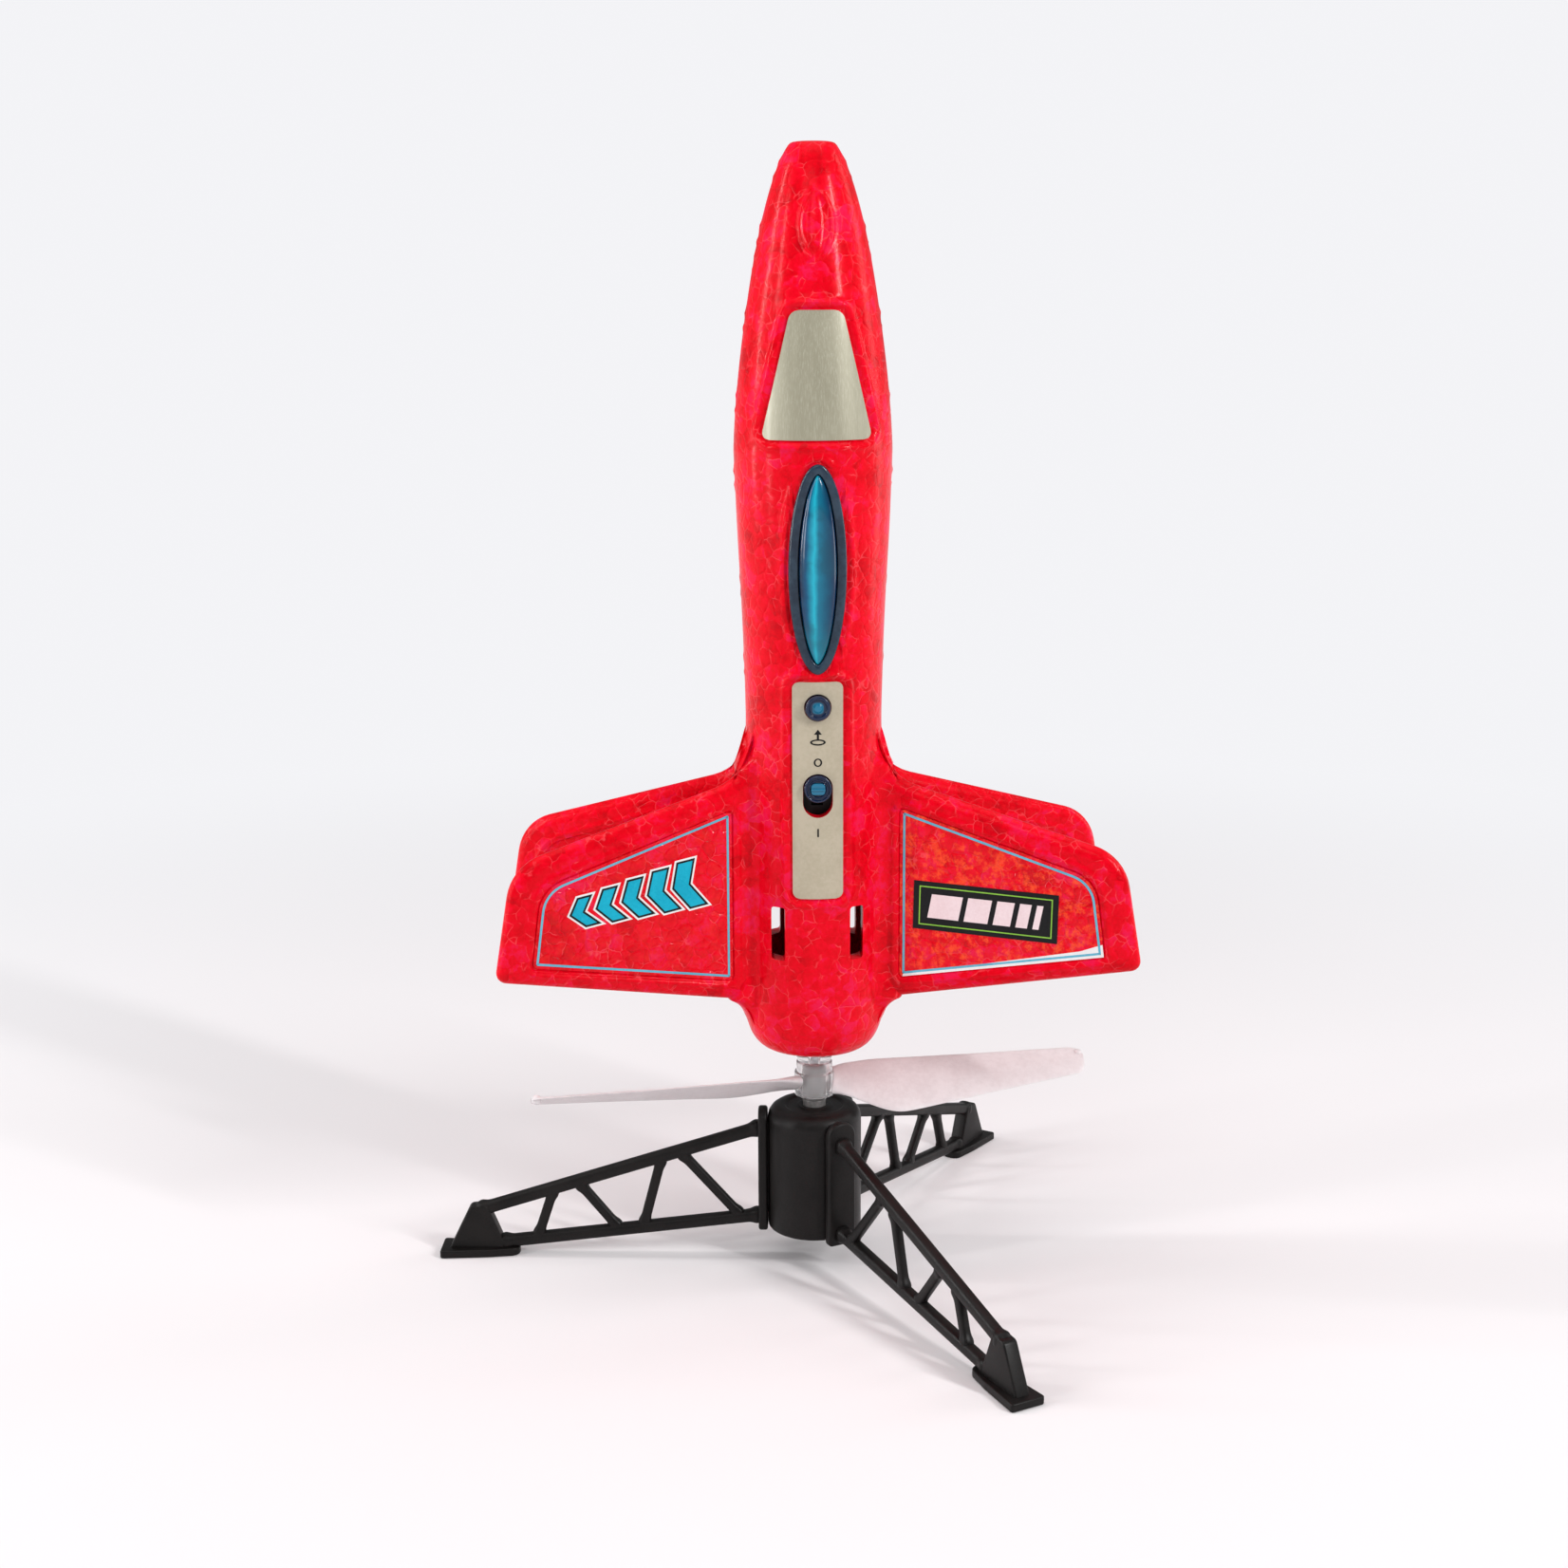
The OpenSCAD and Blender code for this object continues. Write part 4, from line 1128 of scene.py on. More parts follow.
@dataclass(frozen=True)
class FoamFin:
    """A swept foam fin with a tube-like border and a sunk panel on each face.

    Attributes:
        half: Half thickness.
        panel_depth: Depth of the sunk panel.
        edge: Width over which the border rounds off to its edge.
        flare: Radius of the fillet between the fin and the body.
    """

    half: float = 2.3
    panel_depth: float = 0.6
    edge: float = 3.3
    flare: float = 4.6
    corners: tuple[tuple[float, float, float], ...] = (
        (14.2, 61.6, 0), (15.9, 61.6, 0), (16.6, 69.5, 3), (80.6, 81.2, 2.5), (75.9, 108.8, 12), (16.3, 126, 13),
        (15.9, 138.5, 0), (14.4, 138.5, 0))
    panel: tuple[tuple[float, float, float], ...] = (
        (21.4, 75.0, 1.2), (72.5, 83.6, 1.2), (69.9, 103.6, 8.6), (21.4, 118.6, 1.2))

    def loops(self) -> tuple[np.ndarray, np.ndarray, np.ndarray]:
        """Splits both outlines into bottom, tip, top and root, with as many points on each side of both.

        Returns:
            The fin's outline, the panel's outline, and the fin's free edge.
        """
        counts, mid = (96, 46, 96, 60), 4
        fin, panel = rounded_outline(self.corners), rounded_outline(self.panel)
        free = [np.vstack([fin[1], fin[2], fin[3][:mid + 1]]), np.vstack([fin[3][mid:], fin[4][:mid + 1]]),
                np.vstack([fin[4][mid:], fin[5], fin[6]])]
        outer = [*free, np.vstack([fin[6], fin[7], fin[0], fin[1]])]
        inner = [np.vstack([panel[k][mid:], panel[(k + 1) % 4][:mid + 1]]) for k in range(4)]
        parts = [[resample(path, n)[:-1] for path, n in zip(sides, counts)] for sides in (outer, inner)]
        return np.vstack(parts[0]), np.vstack(parts[1]), np.vstack(free)

    def thickness(self, rho: np.ndarray, z: np.ndarray, free: np.ndarray, panel: np.ndarray) -> np.ndarray:
        """Half thickness of the border at a point of the fin.

        The half thickness, plus a fillet whose circle touches both the fin's face and the round body,
        plus a low bead round the panel, all times an ellipse that closes the free edge: root of
        1 - (1 - distance / edge)^2.

        Args:
            rho: Distances from the axis.
            z: Heights.
            free: The free edge.
            panel: The panel's outline.

        Returns:
            Heights off the middle plane.
        """
        gap = np.clip(edge_distance(rho, z, free) / self.edge, 0, 1)
        body, high = HULL.radius(z), self.half + self.flare
        centre = np.sqrt((body + self.flare) ** 2 - high ** 2)
        off = np.clip(centre - rho, 0, centre * self.flare / (body + self.flare))
        fillet = self.flare - np.sqrt(self.flare ** 2 - off ** 2)
        bead = 0.34 * bell(signed_distance(rho, z, panel) - 1.0, 0.55)
        ripple = 0.03 * np.sin(rho / 4.7 + z / 6.1)
        return (self.half + fillet + bead + ripple) * np.sqrt(1 - (1 - gap) ** 2)

    def build(self, name: str, way: Direction, node: str) -> None:
        """Makes a fin: rings from its edge to the panel, a step down, and rings over the panel's floor.

        Args:
            name: Name of the piece.
            way: Where the fin points.
            node: The CAD node that it belongs to.
        """
        outer, inner, free = self.loops()
        share = np.linspace(0, 1, 19)[:, None, None]
        share = share * share * (3 - 2 * share)
        border = outer + (inner - outer) * share
        height = self.thickness(border[..., 0], border[..., 1], free, inner)
        top = height[-1]
        floor = self.half - self.panel_depth
        rings, levels = [*border], [*height]
        for depth, drop in ((0.10, 0.06), (0.22, 0.25), (0.30, 0.60), (0.42, 0.90), (0.62, 1.0)):
            rings.append(inset(inner, depth))
            levels.append(top + (floor - top) * drop)
        middle = rings[-1].mean(0)
        for part in np.linspace(1, 0, 12)[1:]:
            spot = middle + (rings[len(border) + 4] - middle) * part
            rings.append(spot)
            levels.append(floor + 0.03 * np.sin(spot[:, 0] / 3.1) * np.sin(spot[:, 1] / 2.7))
        spots, levels = np.stack(rings), np.stack(levels)
        skin = Skin()
        faces = [skin.grid(way.lift(spots[..., 0], spots[..., 1], s * levels), wrap=True) for s in (1, -1)]
        skin.strip(faces[0][0], faces[1][0])
        skin.build(name, FOAM, "rocket", "foam", [node])


@dataclass(frozen=True)
class FinPrint:
    """Clear film in a front fin's panel, with its printed line and graphics.

    Attributes:
        low: Height of the film's lower face off the fin's middle plane.
        high: Height of its upper face.
        corners: Corners of the film, each with its radius.
        marks: Places of the round mould marks that show through it.
    """

    low: float = 1.73
    high: float = 2.0
    corners: tuple[tuple[float, float, float], ...] = (
        (22, 75.6, 1), (71.9, 84.2, 1), (69.3, 103, 8.4), (22, 118, 1))
    marks: tuple[tuple[float, float], ...] = ((36.0, 104.5), (52.5, 100.0), (36.5, 84.0), (54.5, 86.5))

    def sheet(self, way: Direction) -> None:
        """Makes the film: rings shrinking to its middle, each with a faint wave, and raised mould marks."""
        loop = resample(np.vstack([(r := rounded_outline(self.corners, 6).reshape(-1, 2)), r[:1]]), 161)[:-1]
        middle = loop.mean(0)
        part = np.append(np.linspace(1, 0, 15), 0)[:-1]
        rings = middle + (loop - middle) * part[:, None, None]
        wave = 0.035 * np.sin(rings[..., 0] / 2.9) * np.sin(rings[..., 1] / 3.3) * (1 - part[:, None]) ** 0.5
        skin = Skin()
        top = skin.grid(way.lift(rings[..., 0], rings[..., 1], self.high + wave), wrap=True)
        low = skin.add(way.lift(loop[:, 0], loop[:, 1], self.low))
        skin.strip(low, top[0])
        skin.cap(low)
        q = np.linspace(0, 2 * math.pi, 40, endpoint=False)
        for rho, z in self.marks:
            for radius, wide in ((2.5, 0.28), (0.35, 0.30)):
                p = np.linspace(0, 2 * math.pi, 8, endpoint=False)[:, None]
                reach = radius + wide * np.cos(p)
                skin.grid(way.lift(rho + reach * np.cos(q), z + reach * np.sin(q),
                                   self.high - 0.02 + 0.09 * np.sin(p)), wrap=True)
        skin.build(f"fin_print_{way.name}", FILMED_FOAM[way.name], "rocket", "clear_film", [f"fin_film_{way.name}"])

    def line(self, way: Direction) -> None:
        """Makes the printed line round the film: a flat band between two insets of its outline."""
        loop = rounded_outline(self.corners, 8).reshape(-1, 2)
        bands = [(0.75, self.high - 0.05), (0.75, self.high + 0.07), (1.30, self.high + 0.07), (1.30, self.high - 0.05)]
        rings = np.stack([way.lift(*inset(loop, d).T, h) for d, h in [*bands, bands[0]]])
        skin = Skin()
        skin.grid(rings, wrap=True)
        skin.build(f"fin_line_{way.name}", BLUE_LINE, "rocket", "clear_film")

    def layers(self, name: str, way: Direction, layers: Sequence[tuple[str, Finish, float, float, list]]) -> None:
        """Makes printed layers that lie on each other.

        Args:
            name: Name of the graphic.
            way: Where the fin points.
            layers: Name, finish, lower and upper height and outlines of each layer.
        """
        for part, finish, low, high, outlines in layers:
            skin = Skin()
            for outline in outlines:
                skin.slab(outline, way.lift, self.high + low, self.high + high)
            skin.build(f"{name}_{part}", finish, "rocket", "clear_film")

    def chevrons(self, way: Direction) -> None:
        """Makes the left graphic: a row of turquoise arrowheads with a black edge and a white rim.

        Args:
            way: Where the fin points.
        """
        slope, start = math.tan(math.radians(9)), 30.5
        shapes = []
        for k in range(5):
            wide, tall, rho = 3.6 - 0.25 * k, 5.4 - 0.55 * k, start + 6.6 * k
            local = np.array([(0, tall), (wide, tall), (wide + 2.6, 0), (wide, -tall), (0, -tall), (2.6, 0)])
            spot = np.array([rho, 101.2 - slope * (rho - start)])
            lean = np.array([[1.0, -slope], [0.28, 1.0]])
            shapes.append(spot + local @ lean)
        grown = [[inset(s, -d) for s in shapes] for d in (0.95, 0.5, 0.0)]
        self.layers("speed_arrows", way, [("rim", WHITE_INK, -0.05, 0.075, grown[0]), ("edge", INK, 0.0, 0.105, grown[1]),
                                          ("face", TURQUOISE, 0.03, 0.135, grown[2])])

    def label(self, way: Direction) -> None:
        """Makes the right graphic: a slanted black box, a thin green frame and plain pale bars.

        Args:
            way: Where the fin points.
        """
        def box(u0: float, u1: float, v0: float, v1: float) -> np.ndarray:
            local = np.array([(u0, v0), (u1, v0), (u1, v1), (u0, v1)])
            return np.array([43.0, 93.5]) + local @ np.array([[1.0, -0.045], [0.02, 1.0]])

        outer, inner = box(-16.2, 16.2, -4.85, 4.85), box(-15.92, 15.92, -4.57, 4.57)
        skin = Skin()
        rings = [way.lift(*loop.T, self.high + h) for loop, h in
                 ((outer, 0.02), (outer, 0.125), (inner, 0.125), (inner, 0.02), (outer, 0.02))]
        skin.grid(np.stack(rings), wrap=True)
        skin.build("label_frame", GREEN_LINE, "rocket", "clear_film")
        bars = [box(u, u + w, -2.95, 2.95) @ np.eye(2) + np.array([(-0.5, 0), (-0.5, 0), (0.5, 0), (0.5, 0)])
                for u, w in ((-13.6, 7.6), (-4.7, 5.8), (2.4, 4.2), (7.9, 2.8), (12.0, 1.5))]
        self.layers("label", way, [("box", INK, -0.05, 0.09, [box(-17.6, 17.6, -6.0, 6.0)]),
                                   ("bars", PINK_INK, 0.05, 0.125, bars)])
        wedge = np.array([(22.8, 75.85), (71.7, 84.25), (71.3, 87.3), (66.0, 85.3), (40.0, 79.9), (22.9, 76.7)])
        self.layers("print", way, [("bright_edge", WHITE_INK, -0.05, 0.06, [wedge])])


@dataclass
class Fins:
    """The four fins and the two printed films."""

    foam: FoamFin = field(default_factory=FoamFin)
    film: FinPrint = field(default_factory=FinPrint)

    def build(self) -> None:
        """Makes every fin, film and graphic."""
        for place, ways, node in (("front", (RIGHT_FRONT, LEFT_FRONT), "front_shell"),
                                  ("rear", (RIGHT_REAR, LEFT_REAR), "rear_shell")):
            for way in ways:
                self.foam.build(f"{place}_fin_{way.name}", way, node)
        for way in (RIGHT_FRONT, LEFT_FRONT):
            self.film.sheet(way)
            self.film.line(way)
        self.film.chevrons(LEFT_FRONT)
        self.film.label(RIGHT_FRONT)


# ---- lens and controls --------------------------------------------------------------------


@dataclass(frozen=True)
class CanopyLens:
    """Smoked oval flange with a clear teal dome."""

    middle: float = 176.5
    flange: tuple[float, float] = (6.85, 24.5)
    dome: tuple[float, float] = (4.4, 22.0)
    proud: float = 0.7
    rise: float = 2.2

    def lift(self, t: np.ndarray, z: np.ndarray, height: np.ndarray | float) -> np.ndarray:
        """Places a point so far above the foam's plain outline."""
        r = HULL.radius(z) + height
        return np.stack([t, -np.sqrt(np.maximum(r * r - t * t, 0)), z], -1)

    def band(self, skin: Skin, rows: Sequence[tuple[np.ndarray, float]]) -> np.ndarray:
        """Makes a closed band through loops, each with its height."""
        return skin.grid(np.stack([self.lift(*loop.T, h) for loop, h in rows]), wrap=True)

    def build(self) -> None:
        """Makes the flange with its rounded rims, and the dome, whose height is root of 1 - share^2."""
        rim, inner = oval(*self.flange, self.middle, 132), oval(*self.dome, self.middle, 132, 1.25)
        mouth = inset(inner, -0.12)
        rows = [(inset(rim, 0.05), -0.35), (rim, 0.10), (inset(rim, 0.08), 0.42), (inset(rim, 0.28), 0.63),
                (inset(rim, 0.60), self.proud), (rim + (mouth - rim) * 0.55, self.proud + 0.02),
                (inset(inner, -0.50), self.proud - 0.02), (inset(inner, -0.30), self.proud - 0.12),
                (inset(inner, -0.16), 0.30), (mouth, -0.30)]
        skin = Skin()
        self.band(skin, [*rows, rows[0]])
        skin.build("canopy_flange", FLANGE, "rocket", "tinted_lens", ["canopy_lens"])
        share = np.sin(np.linspace(1, 0, 19) * math.pi / 2)
        centre = np.array([0.0, self.middle])
        dome = [(centre + (inner - centre) * s, 0.15 + (self.rise - 0.15) * math.sqrt(1 - s ** 2.4)) for s in share]
        hollow = [(centre + (inner - centre) * s * 0.86, -1.2 + (self.rise - 0.15) * math.sqrt(1 - s * s))
                  for s in share[::-1]]
        skin = Skin()
        self.band(skin, [*dome, *hollow, (inner * 0.98 + centre * 0.02, -1.2), dome[0]])
        skin.build("canopy_dome", TealDome(), "rocket", "tinted_lens", ["canopy_lens"])


@dataclass(frozen=True)
class Controls:
    """Launch button, power slide and the marks printed beside them."""

    button_z: float = 144.1
    button_r: float = 2.95
    knob_z: float = 124.7
    knob_r: float = 3.25
    arrow_z: float = 137.0
    off_z: float = 131.0
    on_z: float = 114.0

    def button(self) -> None:
        """Makes the cap: a rim, a dish and a low blob, turned about its own axis."""
        r = self.button_r
        profile = soften([(0, 13.6, 0), (r, 13.6, 0.2), (r, 17.8, 0.35), (r - 0.75, 17.8, 0.25), (r - 1.0, 17.2, 0.2),
                          (1.2, 17.2, 0.3), (0.8, 17.5, 0.3), (0, 17.55, 0)])
        skin = Skin()
        skin.grid(facing_front(turned(profile), self.button_z), wrap=True)
        # The cap's finish carries a painted glow in its middle.
        finish = PaintedGlowCap("button_painted_glow", self.button_z, (1.35, 1.35))
        skin.build("launch_button_cap", finish, "launch_button", "button_plastic", ["button_cap"])

    def knob(self) -> None:
        """Makes the round slide: a double rim, a raised pad with a ridge, and the stem behind."""
        r = self.knob_r
        profile = soften([(0, 13.4, 0), (r, 13.4, 0.2), (r, 17.4, 0.3), (r - 0.45, 17.4, 0.15), (r - 0.6, 17.0, 0.1),
                          (r - 0.9, 17.0, 0.1), (r - 1.0, 17.25, 0.1), (r - 1.25, 17.25, 0.1), (r - 1.4, 16.8, 0.1),
                          (0, 16.8, 0)])
        skin = Skin()
        skin.grid(facing_front(turned(profile), self.knob_z), wrap=True)

        def lift(t: np.ndarray, z: np.ndarray, height: float) -> np.ndarray:
            return np.stack([t, np.full_like(t, -height), z + self.knob_z], -1)

        def block(wide: float, tall: float, corner: float) -> np.ndarray:
            return trapezoid(-tall, tall, wide, wide, corner)

        skin.slab(block(1.65, 1.35, 0.5), lift, 16.6, 17.45, 0.22)
        skin.slab(block(1.65, 0.22, 0.15), lift, 17.3, 17.95, 0.12)
        skin.slab(block(1.0, 1.0, 0.2), lift, 11.35, 13.5, 0.1)
        # The knob's finish carries a painted glow in its middle.
        finish = PaintedGlowCap("knob_painted_glow", self.knob_z, (1.75, 1.45), 0.25)
        skin.build("power_slide_knob", finish, "power_slide", "black_plastic", ["slide_knob"])

    def marks(self) -> None:
        """Makes the printed marks: an upward arrow over a small ring, and a ring and a bar by the slide."""
        skin = Skin()

        def lift(t: np.ndarray, z: np.ndarray, height: float) -> np.ndarray:
            return CONTROLS.lift(t, z, CONTROLS.thick + height)

        def plates(shapes: Iterable[Sequence[tuple[float, float]]], at: tuple[float, float]) -> None:
            for shape in shapes:
                skin.slab(np.array(shape, float) + np.array(at), lift, -0.03, 0.035)

        def hoop(at: tuple[float, float], wide: float, tall: float, line: float) -> None:
            outer = oval(wide, tall, 0, 36) + np.array(at)
            inner = oval(wide - line, tall - line * 0.75, 0, 36) + np.array(at)
            rows = [(outer, -0.03), (outer, 0.035), (inner, 0.035), (inner, -0.03), (outer, -0.03)]
            skin.grid(np.stack([lift(*loop.T, h) for loop, h in rows]), wrap=True)

        plates([[(-0.26, -0.6), (0.26, -0.6), (0.26, 0.8), (-0.26, 0.8)], [(-0.95, 0.7), (0.95, 0.7), (0.0, 1.9)]],
               (0.0, self.arrow_z))
        hoop((0.0, self.arrow_z - 1.15), 1.85, 0.75, 0.48)
        bar = [(-0.2, -1.0), (0.2, -1.0), (0.2, 1.0), (-0.2, 1.0)]
        hoop((0.0, self.off_z), 1.0, 1.0, 0.4)
        plates([bar], (0.0, self.on_z))
        skin.build("control_marks", INK, "rocket", "panel_film")

    def build(self) -> None:
        """Makes the films, the button, the slide and the marks."""
        WINDSHIELD.build(BrushedFilm(), "silver_film")
        CONTROLS.build(PANEL, "panel_film")
        self.button()
        self.knob()
        self.marks()


# ---- propeller ----------------------------------------------------------------------------


@dataclass(frozen=True)
class Propeller:
    """Two frosted blades on a clear hub.

    Attributes:
        height: Height of the blades' middle.
        turn: Direction of the first blade from +X, in degrees.
        pitch: Pitch at the root and at the tip, in degrees.
        tip: Distance of the tip from the axis.
        far: Distance out and place across of the edge that is high.
        near: The same for the edge that is low.
    """

    height: float = 45.6
    turn: float = 8.0
    pitch: tuple[float, float] = (33.0, 28.5)
    tip: float = 70.9
    far: tuple[tuple[float, float], ...] = ((3.6, 4.0), (8, 5.6), (16, 6.4), (40, 6.1), (66, 6.1), (71, 6.0))
    near: tuple[tuple[float, float], ...] = (
        (3.6, -3.4), (7, -4.2), (11, -6.6), (15, -9.1), (18, -10.5), (21, -10.95), (25, -10.4), (66, -3.4), (71, -2.7))

    def blade(self, skin: Skin, turn: float) -> None:
        """Adds a blade: a thin ellipse across, cambered and pitched, carried outwards.

        The edges follow two soft curves, the last 4.5 mm close in a quarter ellipse, and the
        camber is 0.5 (1 - share^2).

        Args:
            skin: Where the blade goes.
            turn: Its direction, in degrees.
        """
        out = stations((3.6, 12, 0.7), (12, 30, 1.0), (30, 64, 2.0), (64, 69.5, 0.5), (69.5, self.tip, 0.12))[:, None]
        high, low = through(out, self.far, 1.6), through(out, self.near, 1.8)
        close = np.sqrt(np.clip(1 - np.clip((out - self.tip + 3.6) / 3.6, 0, 1) ** 2, 0, 1))
        q = np.linspace(0, 2 * math.pi, 36, endpoint=False)
        share = np.cos(q)
        half = (high - low) / 2 * (1 - 0.72 * (1 - close)) * np.minimum(close * 3, 1)
        across = (high + low) / 2 + 1.1 * (1 - close) + half * share
        thick = np.interp(out, [3.6, 10, 30, 70], [1.6, 0.75, 0.55, 0.45]) * np.minimum(close * 2.5, 1)
        off = thick * np.sin(q) + 0.5 * (1 - share ** 2) + 0.14 * bell(np.abs(share) - 0.93, 0.06) * np.sin(q)
        slope = np.radians(np.interp(out, [3.6, 66], self.pitch))
        side = across * np.cos(slope) - off * np.sin(slope)
        up = across * np.sin(slope) + off * np.cos(slope)
        a = math.radians(turn)
        rho = np.broadcast_to(out, side.shape)
        points = np.stack([rho * math.cos(a) - side * math.sin(a), rho * math.sin(a) + side * math.cos(a),
                           self.height + up], -1)
        ids = skin.grid(points, wrap=True)
        skin.cap(ids[0])
        skin.cap(ids[-1])
        bead = turned([(1.25 * math.sin(p), 1.25 * math.cos(p)) for p in np.linspace(0, math.pi, 13)], 24)
        spot = points[-12].mean(0) + 0.45 * (points[-12, 0] - points[-12].mean(0))
        skin.grid(bead + spot, wrap=True)

    def build(self) -> None:
        """Makes both blades and the hub's collar."""
        skin = Skin()
        for side in (0, 180):
            self.blade(skin, self.turn + side)
        skin.build("propeller_blades", FROSTED, "rotor", "frosted_plastic", ["propeller"])
        skin = Skin()
        profile = soften([(2.98, 43.0, 0.1), (4.96, 43.0, 0.3), (4.96, 44.2, 0.1), (4.80, 44.4, 0.1), (4.96, 44.6, 0.1),
                          (4.96, 49.0, 0.4), (4.46, 49.2, 0.15), (4.46, 51.6, 0.1), (4.15, 51.9, 0.1),
                          (4.15, 52.5, 0.1), (4.46, 52.8, 0.1), (4.46, 55.6, 0.35), (1.06, 55.6, 0.1), (1.06, 51.05, 0.05),
                          (2.98, 51.05, 0.2)], closed=True)
        ring = turned(profile, 96)
        skin.grid(np.concatenate([ring, ring[:1]]), wrap=True)
        skin.build("propeller_hub", CLEAR, "rotor", "frosted_plastic", ["propeller"])


# ---- launch stand -------------------------------------------------------------------------


@dataclass(frozen=True)
class Stand:
    """Hub with three pockets, the launch pin, and three plug-in lattice legs.

    Attributes:
        turns: Direction of each leg from +X, in degrees, by its body.
        hub_r: Radius of the hub.
        low: Height of the hub's underside.
        high: Height of its top.
        pin_r: Radius of the pin.
        pin_top: Height of the pin's top.
    """

    turns: tuple[tuple[str, str, float], ...] = (
        ("front_leg", "leg_front", -64.0), ("rear_leg", "leg_rear", 56.0), ("side_leg", "leg_side", 176.0))
    hub_r: float = 11.7
    low: float = 8.2
    high: float = 40.3
    pin_r: float = 2.9
    pin_top: float = 50.95
    pocket_in: float = 6.6

    def hub(self) -> None:
        """Makes the hub: a turned wall with three pockets, a big round shoulder, a dished top and a bore."""
        r, skin = self.hub_r, Skin()
        z = stations((self.low + 0.8, self.high - 3.2, 0.8))
        q = np.radians(np.linspace(-120, 240, 181))
        angle, zz = np.meshgrid(q, z)

        def wall(a: np.ndarray, h: np.ndarray) -> np.ndarray:
            return np.stack(np.broadcast_arrays(r * np.cos(a), r * np.sin(a), h), -1)

        ids = skin.add(wall(angle, zz))
        blocks = []
        for _, _, turn in self.turns:
            turn = math.radians(turn)
            t = np.where(np.cos(angle - turn) > 0, r * np.sin(angle - turn), 99.0)
            hole = Hole(0.0, 24.0, (1.5, 11.7), 0.5, margin=0.1)
            block = hole.window(t, zz)
            blocks.append(block)
            rim = hole.cut(skin, ids, t, zz, block, lambda s, h, a=turn: wall(a + np.arcsin(s / r), h), 2)
            points = np.concatenate(skin.points)[rim]
            inward = points @ np.array([math.cos(turn), math.sin(turn), 0.0])
            move = (self.pocket_in - inward)[:, None] * np.array([math.cos(turn), math.sin(turn), 0.0])
            floor = skin.add(points + move)
            skin.strip(rim, floor)
            skin.cap(floor)
        skin.sheet(ids, keep=keep_outside(ids.shape, blocks))
        top = soften([(r, self.high - 3.2, 0), (r, self.high, 3.19), (7.6, self.high, 0.5), (6.9, self.high - 0.45, 0.5),
                      (4.6, self.high - 0.45, 0.4), (4.1, self.high - 0.05, 0.4), (self.pin_r + 0.02, self.high - 0.05, 0.3),
                      (self.pin_r + 0.02, 28.0, 0), (0, 28.0, 0)])
        foot = soften([(r, self.low + 0.8, 0), (r, self.low, 0.75), (r - 1.6, self.low, 0.2), (r - 1.9, self.low + 0.8, 0.2),
                       (0, self.low + 0.8, 0)])
        for profile in (top, foot):
            radius, height = profile.T
            skin.grid(np.stack([np.outer(radius, np.cos(q)), np.outer(radius, np.sin(q)),
                                np.repeat(height[:, None], len(q), 1)], -1))
        skin.build("launch_hub", BLACK, "stand", "black_plastic", ["stand_hub"])

    def pin(self) -> None:
        """Makes the launch pin with its bevelled top and two faint mould rings."""
        r = self.pin_r
        profile = soften([(0, 28, 0), (r, 28, 0.1), (r, 41.6, 0.05), (r - 0.08, 41.75, 0.03), (r, 41.9, 0.05),
                          (r, self.pin_top - 0.7, 0.2), (r - 0.6, self.pin_top, 0.2), (0, self.pin_top, 0)])
        skin = Skin()
        skin.grid(turned(profile, 64), wrap=True)
        skin.build("launch_pin_turned", PIN, "stand", "black_plastic", ["launch_pin"])

    def leg(self, body: str, node: str, turn: float) -> None:
        """Makes a leg: tongue, plate, two chords, four struts, gusset and foot pad.

        Args:
            body: The body that it rides on.
            node: The CAD node that it stands for.
            turn: Its direction, in degrees.
        """
        a, skin = math.radians(turn), Skin()

        def place(out: np.ndarray, side: np.ndarray, up: np.ndarray) -> np.ndarray:
            out, side, up = np.broadcast_arrays(out, side, up)
            return np.stack([out * math.cos(a) - side * math.sin(a), out * math.sin(a) + side * math.cos(a), up], -1)

        def bar(start: tuple[float, float], end: tuple[float, float], wide: float, tall: float) -> None:
            """Adds a bar whose section is |u|^3 + |v|^3 = 1, flared by a bell at each end."""
            p, e = np.array(start), np.array(end)
            length = float(np.hypot(*(e - p)))
            along = (e - p) / length
            s = np.concatenate([[0.0], stations((0, 4, 0.4), (4, length - 4, 4.0), (length - 4, length, 0.4)), [length]])
            size = 1 + 0.32 * bell(s - 1.4, 1.3) + 0.32 * bell(length - s - 1.4, 1.3)
            size[[0, -1]] = 0
            q = np.linspace(0, 2 * math.pi, 28, endpoint=False)
            u, v = (np.sign(f(q)) * np.abs(f(q)) ** (2 / 3) for f in (np.cos, np.sin))
            off = tall * size[:, None] * v
            skin.grid(place(p[0] + along[0] * s[:, None] - along[1] * off, wide * size[:, None] * u,
                            p[1] + along[1] * s[:, None] + along[0] * off), wrap=True)

        def lower(x: float) -> tuple[float, float]:
            return x, 10.4 - 6.9 * (x - 15) / 60

        def upper(x: float) -> tuple[float, float]:
            return x, 33.5 - 22.2 * (x - 15) / 71

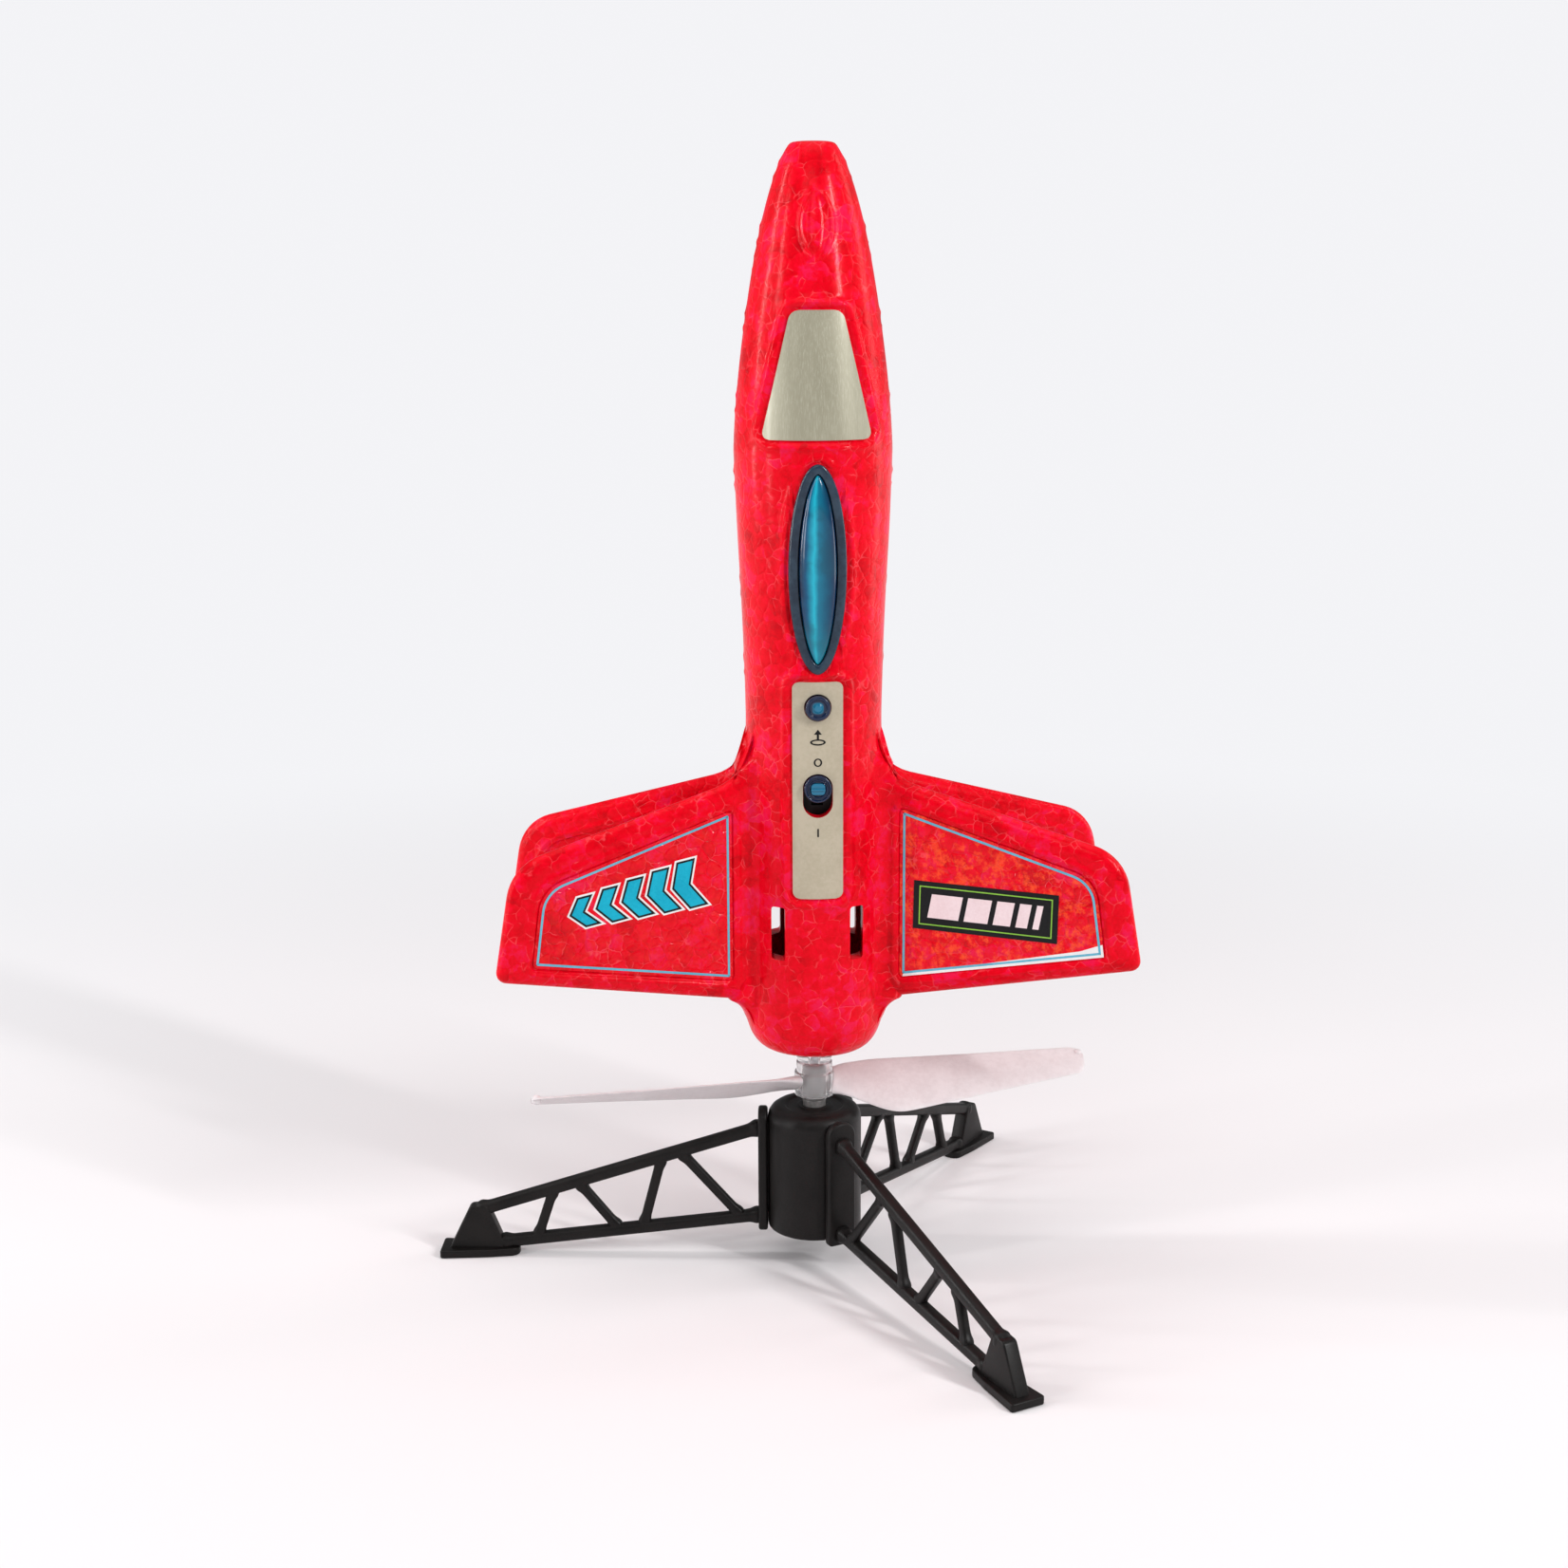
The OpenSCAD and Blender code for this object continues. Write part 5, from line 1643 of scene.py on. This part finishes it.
        plate = rounded_outline([(-3.8, 7.5, 1.2), (3.8, 7.5, 1.2), (3.8, 39.5, 3.7), (-3.8, 39.5, 3.7)], 7)
        skin.slab(plate.reshape(-1, 2), lambda t, z, h: place(h, t, z), 11.75, 14.1, 0.65)
        tongue = rounded_outline([(-1.8, 12, 0.3), (1.8, 12, 0.3), (1.8, 36, 0.3), (-1.8, 36, 0.3)], 3)
        skin.slab(tongue.reshape(-1, 2), lambda t, z, h: place(h, t, z), 6.9, 12.4, 0.3)
        bar(lower(13.2), lower(80), 1.55, 1.55)
        bar(upper(13.2), upper(85.5), 1.55, 1.6)
        for x1, x2 in ((18.5, 34), (43.5, 38.5), (49.5, 60), (70.5, 66)):
            bar(lower(x1), upper(x2), 1.15, 1.25)
        gusset = rounded_outline([(78.0, 1, 0.2), (93.2, 1, 0.2), (87.4, 12.9, 1.4), (83, 13.4, 1.2)], 6)
        skin.slab(gusset.reshape(-1, 2), lambda t, z, h: place(t, h, z), -1.9, 1.9, 0.45)
        pad = rounded_outline([(95, -4.5, 0.8), (95, 4.5, 0.8), (83, 3.6, 4), (75, 2.4, 2.3), (75, -2.4, 2.3),
                               (83, -3.6, 4)], 6)
        skin.slab(pad.reshape(-1, 2), lambda t, y, h: place(t, y, h), 0.0, 2.0, 0.35)
        skin.build(node.replace("leg_", "lattice_leg_"), BLACK, body, "black_plastic", [node])

    def build(self) -> None:
        """Makes the hub, the pin and the legs."""
        self.hub()
        self.pin()
        for body, node, turn in self.turns:
            self.leg(body, node, turn)


# ---- inner parts --------------------------------------------------------------------------


@dataclass(frozen=True)
class InnerParts:
    """The CAD nodes that keep their shape, each with its finish."""

    finishes: tuple[tuple[Finish, tuple[str, ...]], ...] = (
        (BOARD, ("led_board", "main_board")), (RESIN, ("led_upper", "led_lower")),
        (TINPLATE, ("tact_switch",)), (WRAP, ("battery",)), (PAD, ("battery_pad",)),
        # The switch body is near-black as painted shade seen through the slot.
        (BLACK, ("motor_mount", "shaft_collar")), (BLACK_AND_SLOT_SHADE, ("charging_socket", "switch_body")), (WHITE, ("main_gear",)),
        (STEEL, ("motor", "prop_shaft", "motor_shaft")), (BRONZE, ("lower_bush", "upper_bush", "pinion")))

    def dress(self) -> None:
        """Gives every kept node its material."""
        for finish, names in self.finishes:
            for name in names:
                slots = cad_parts[name].data.materials
                slots.clear()
                slots.append(finish.material())
                LOG.info("%s: dressed in %s", name, finish.name)


# ---- studio -------------------------------------------------------------------------------


@dataclass(frozen=True)
class SoftBox:
    """A rectangular studio light, in metres from the object's foot, aimed at a point above it."""

    name: str
    place: tuple[float, float, float]
    size: tuple[float, float]
    power: float
    colour: Colour = (1.0, 1.0, 1.0)
    aim: tuple[float, float, float] = (0.0, 0.0, 0.14)

    def build(self) -> None:
        """Makes the light."""
        lamp = bpy.data.lights.new(self.name, "AREA")
        lamp.shape, lamp.size, lamp.size_y = "RECTANGLE", *self.size
        lamp.energy, lamp.color = self.power, self.colour
        holder = bpy.data.objects.new(self.name, lamp)
        holder.location = self.place
        holder.rotation_euler = (Vector(self.aim) - Vector(self.place)).to_track_quat("-Z", "Y").to_euler()
        bpy.context.scene.collection.objects.link(holder)


@dataclass(frozen=True)
class Studio:
    """Camera, lights and floor."""

    eye: tuple[float, float, float] = (-34.0, -546.0, 242.9)
    pitch: float = -0.217
    yaw: float = -0.049
    roll: float = 0.005
    lens: float = 52.89
    floor_reach: float = 6000.0
    ambient: float = 0.26
    boxes: tuple[SoftBox, ...] = (
        SoftBox("key_box", (0.80, -0.68, 0.72), (0.055, 0.46), 8.4),
        SoftBox("fill_box", (-0.95, -0.34, 0.40), (0.06, 0.80), 3.8),
        SoftBox("front_box", (-0.25, -1.10, 1.00), (0.70, 0.50), 2.2),
        SoftBox("right_rim", (0.80, 0.25, 0.35), (0.20, 0.90), 2.0),
        SoftBox("left_rim", (-0.85, 0.12, 0.45), (0.025, 0.80), 3.8),
        SoftBox("top_box", (0.0, 0.0, 1.30), (1.20, 1.20), 6.2))

    def camera(self) -> None:
        """Makes the camera: its columns are right, up and backwards, from yaw, pitch and roll."""
        turn = Matrix.Rotation(self.yaw, 3, "Z") @ Matrix.Rotation(self.pitch, 3, "X")
        turn = turn @ Matrix.Rotation(self.roll, 3, "Y")
        right, ahead, up = (turn @ Vector(v) for v in ((1, 0, 0), (0, 1, 0), (0, 0, 1)))
        data = bpy.data.cameras.new("camera")
        data.lens, data.sensor_width, data.clip_start, data.clip_end = self.lens, 36.0, 0.01, 50.0
        camera = bpy.data.objects.new("camera", data)
        place = Matrix((right, up, -ahead)).transposed().to_4x4()
        place.translation = Vector((np.array(self.eye) + AXIS) * MM)
        camera.matrix_world = place
        bpy.context.scene.collection.objects.link(camera)
        bpy.context.scene.camera = camera

    def floor(self) -> None:
        """Makes the floor: a wide flat disc just under the feet."""
        q = np.linspace(0, 2 * math.pi, 64, endpoint=False)
        rings = np.array([0.0, 150, 400, 1000, 2500, self.floor_reach])[:, None]
        points = np.stack([rings * np.cos(q), rings * np.sin(q), np.full((6, 64), -0.05)], -1)
        mesh = bpy.data.meshes.new("studio_floor")
        skin = Skin()
        skin.grid(points[1:], wrap=True)
        skin.cap(np.arange(64))
        mesh.from_pydata((np.concatenate(skin.points) + AXIS) * MM, [], skin.faces)
        mesh.materials.append(StudioFloor().material())
        floor = bpy.data.objects.new("studio_floor", mesh)
        bpy.context.scene.collection.objects.link(floor)

    def sky(self) -> None:
        """Makes the surroundings: the backdrop's pale tone where it is seen, and dimmer as a light."""
        world = bpy.data.worlds.new("studio")
        world.use_nodes = True
        tree = world.node_tree
        tree.nodes.clear()
        seen = tree.nodes.new("ShaderNodeLightPath").outputs["Is Camera Ray"]
        strength = tree.nodes.new("ShaderNodeMix")
        strength.inputs[2].default_value, strength.inputs[3].default_value = self.ambient, 1.0
        tree.links.new(seen, strength.inputs[0])
        back = tree.nodes.new("ShaderNodeBackground")
        back.inputs[0].default_value = (*StudioFloor().far, 1)
        tree.links.new(strength.outputs[0], back.inputs[1])
        tree.links.new(back.outputs[0], tree.nodes.new("ShaderNodeOutputWorld").inputs[0])
        bpy.context.scene.world = world

    def build(self) -> None:
        """Makes everything round the object."""
        self.camera()
        self.floor()
        self.sky()
        for box in self.boxes:
            box.build()
        bpy.context.scene.view_settings.view_transform = "Standard"


def main() -> None:
    """Builds the studio, then every piece of the object."""
    logging.basicConfig(level=logging.INFO, format="%(name)s %(message)s")
    Studio().build()
    for assembly in (FoamBody(), Fins(), CanopyLens(), Controls(), Propeller(), Stand()):
        assembly.build()
        LOG.info("%s done", type(assembly).__name__)
    InnerParts().dress()


if __name__ == "__main__":
    main()
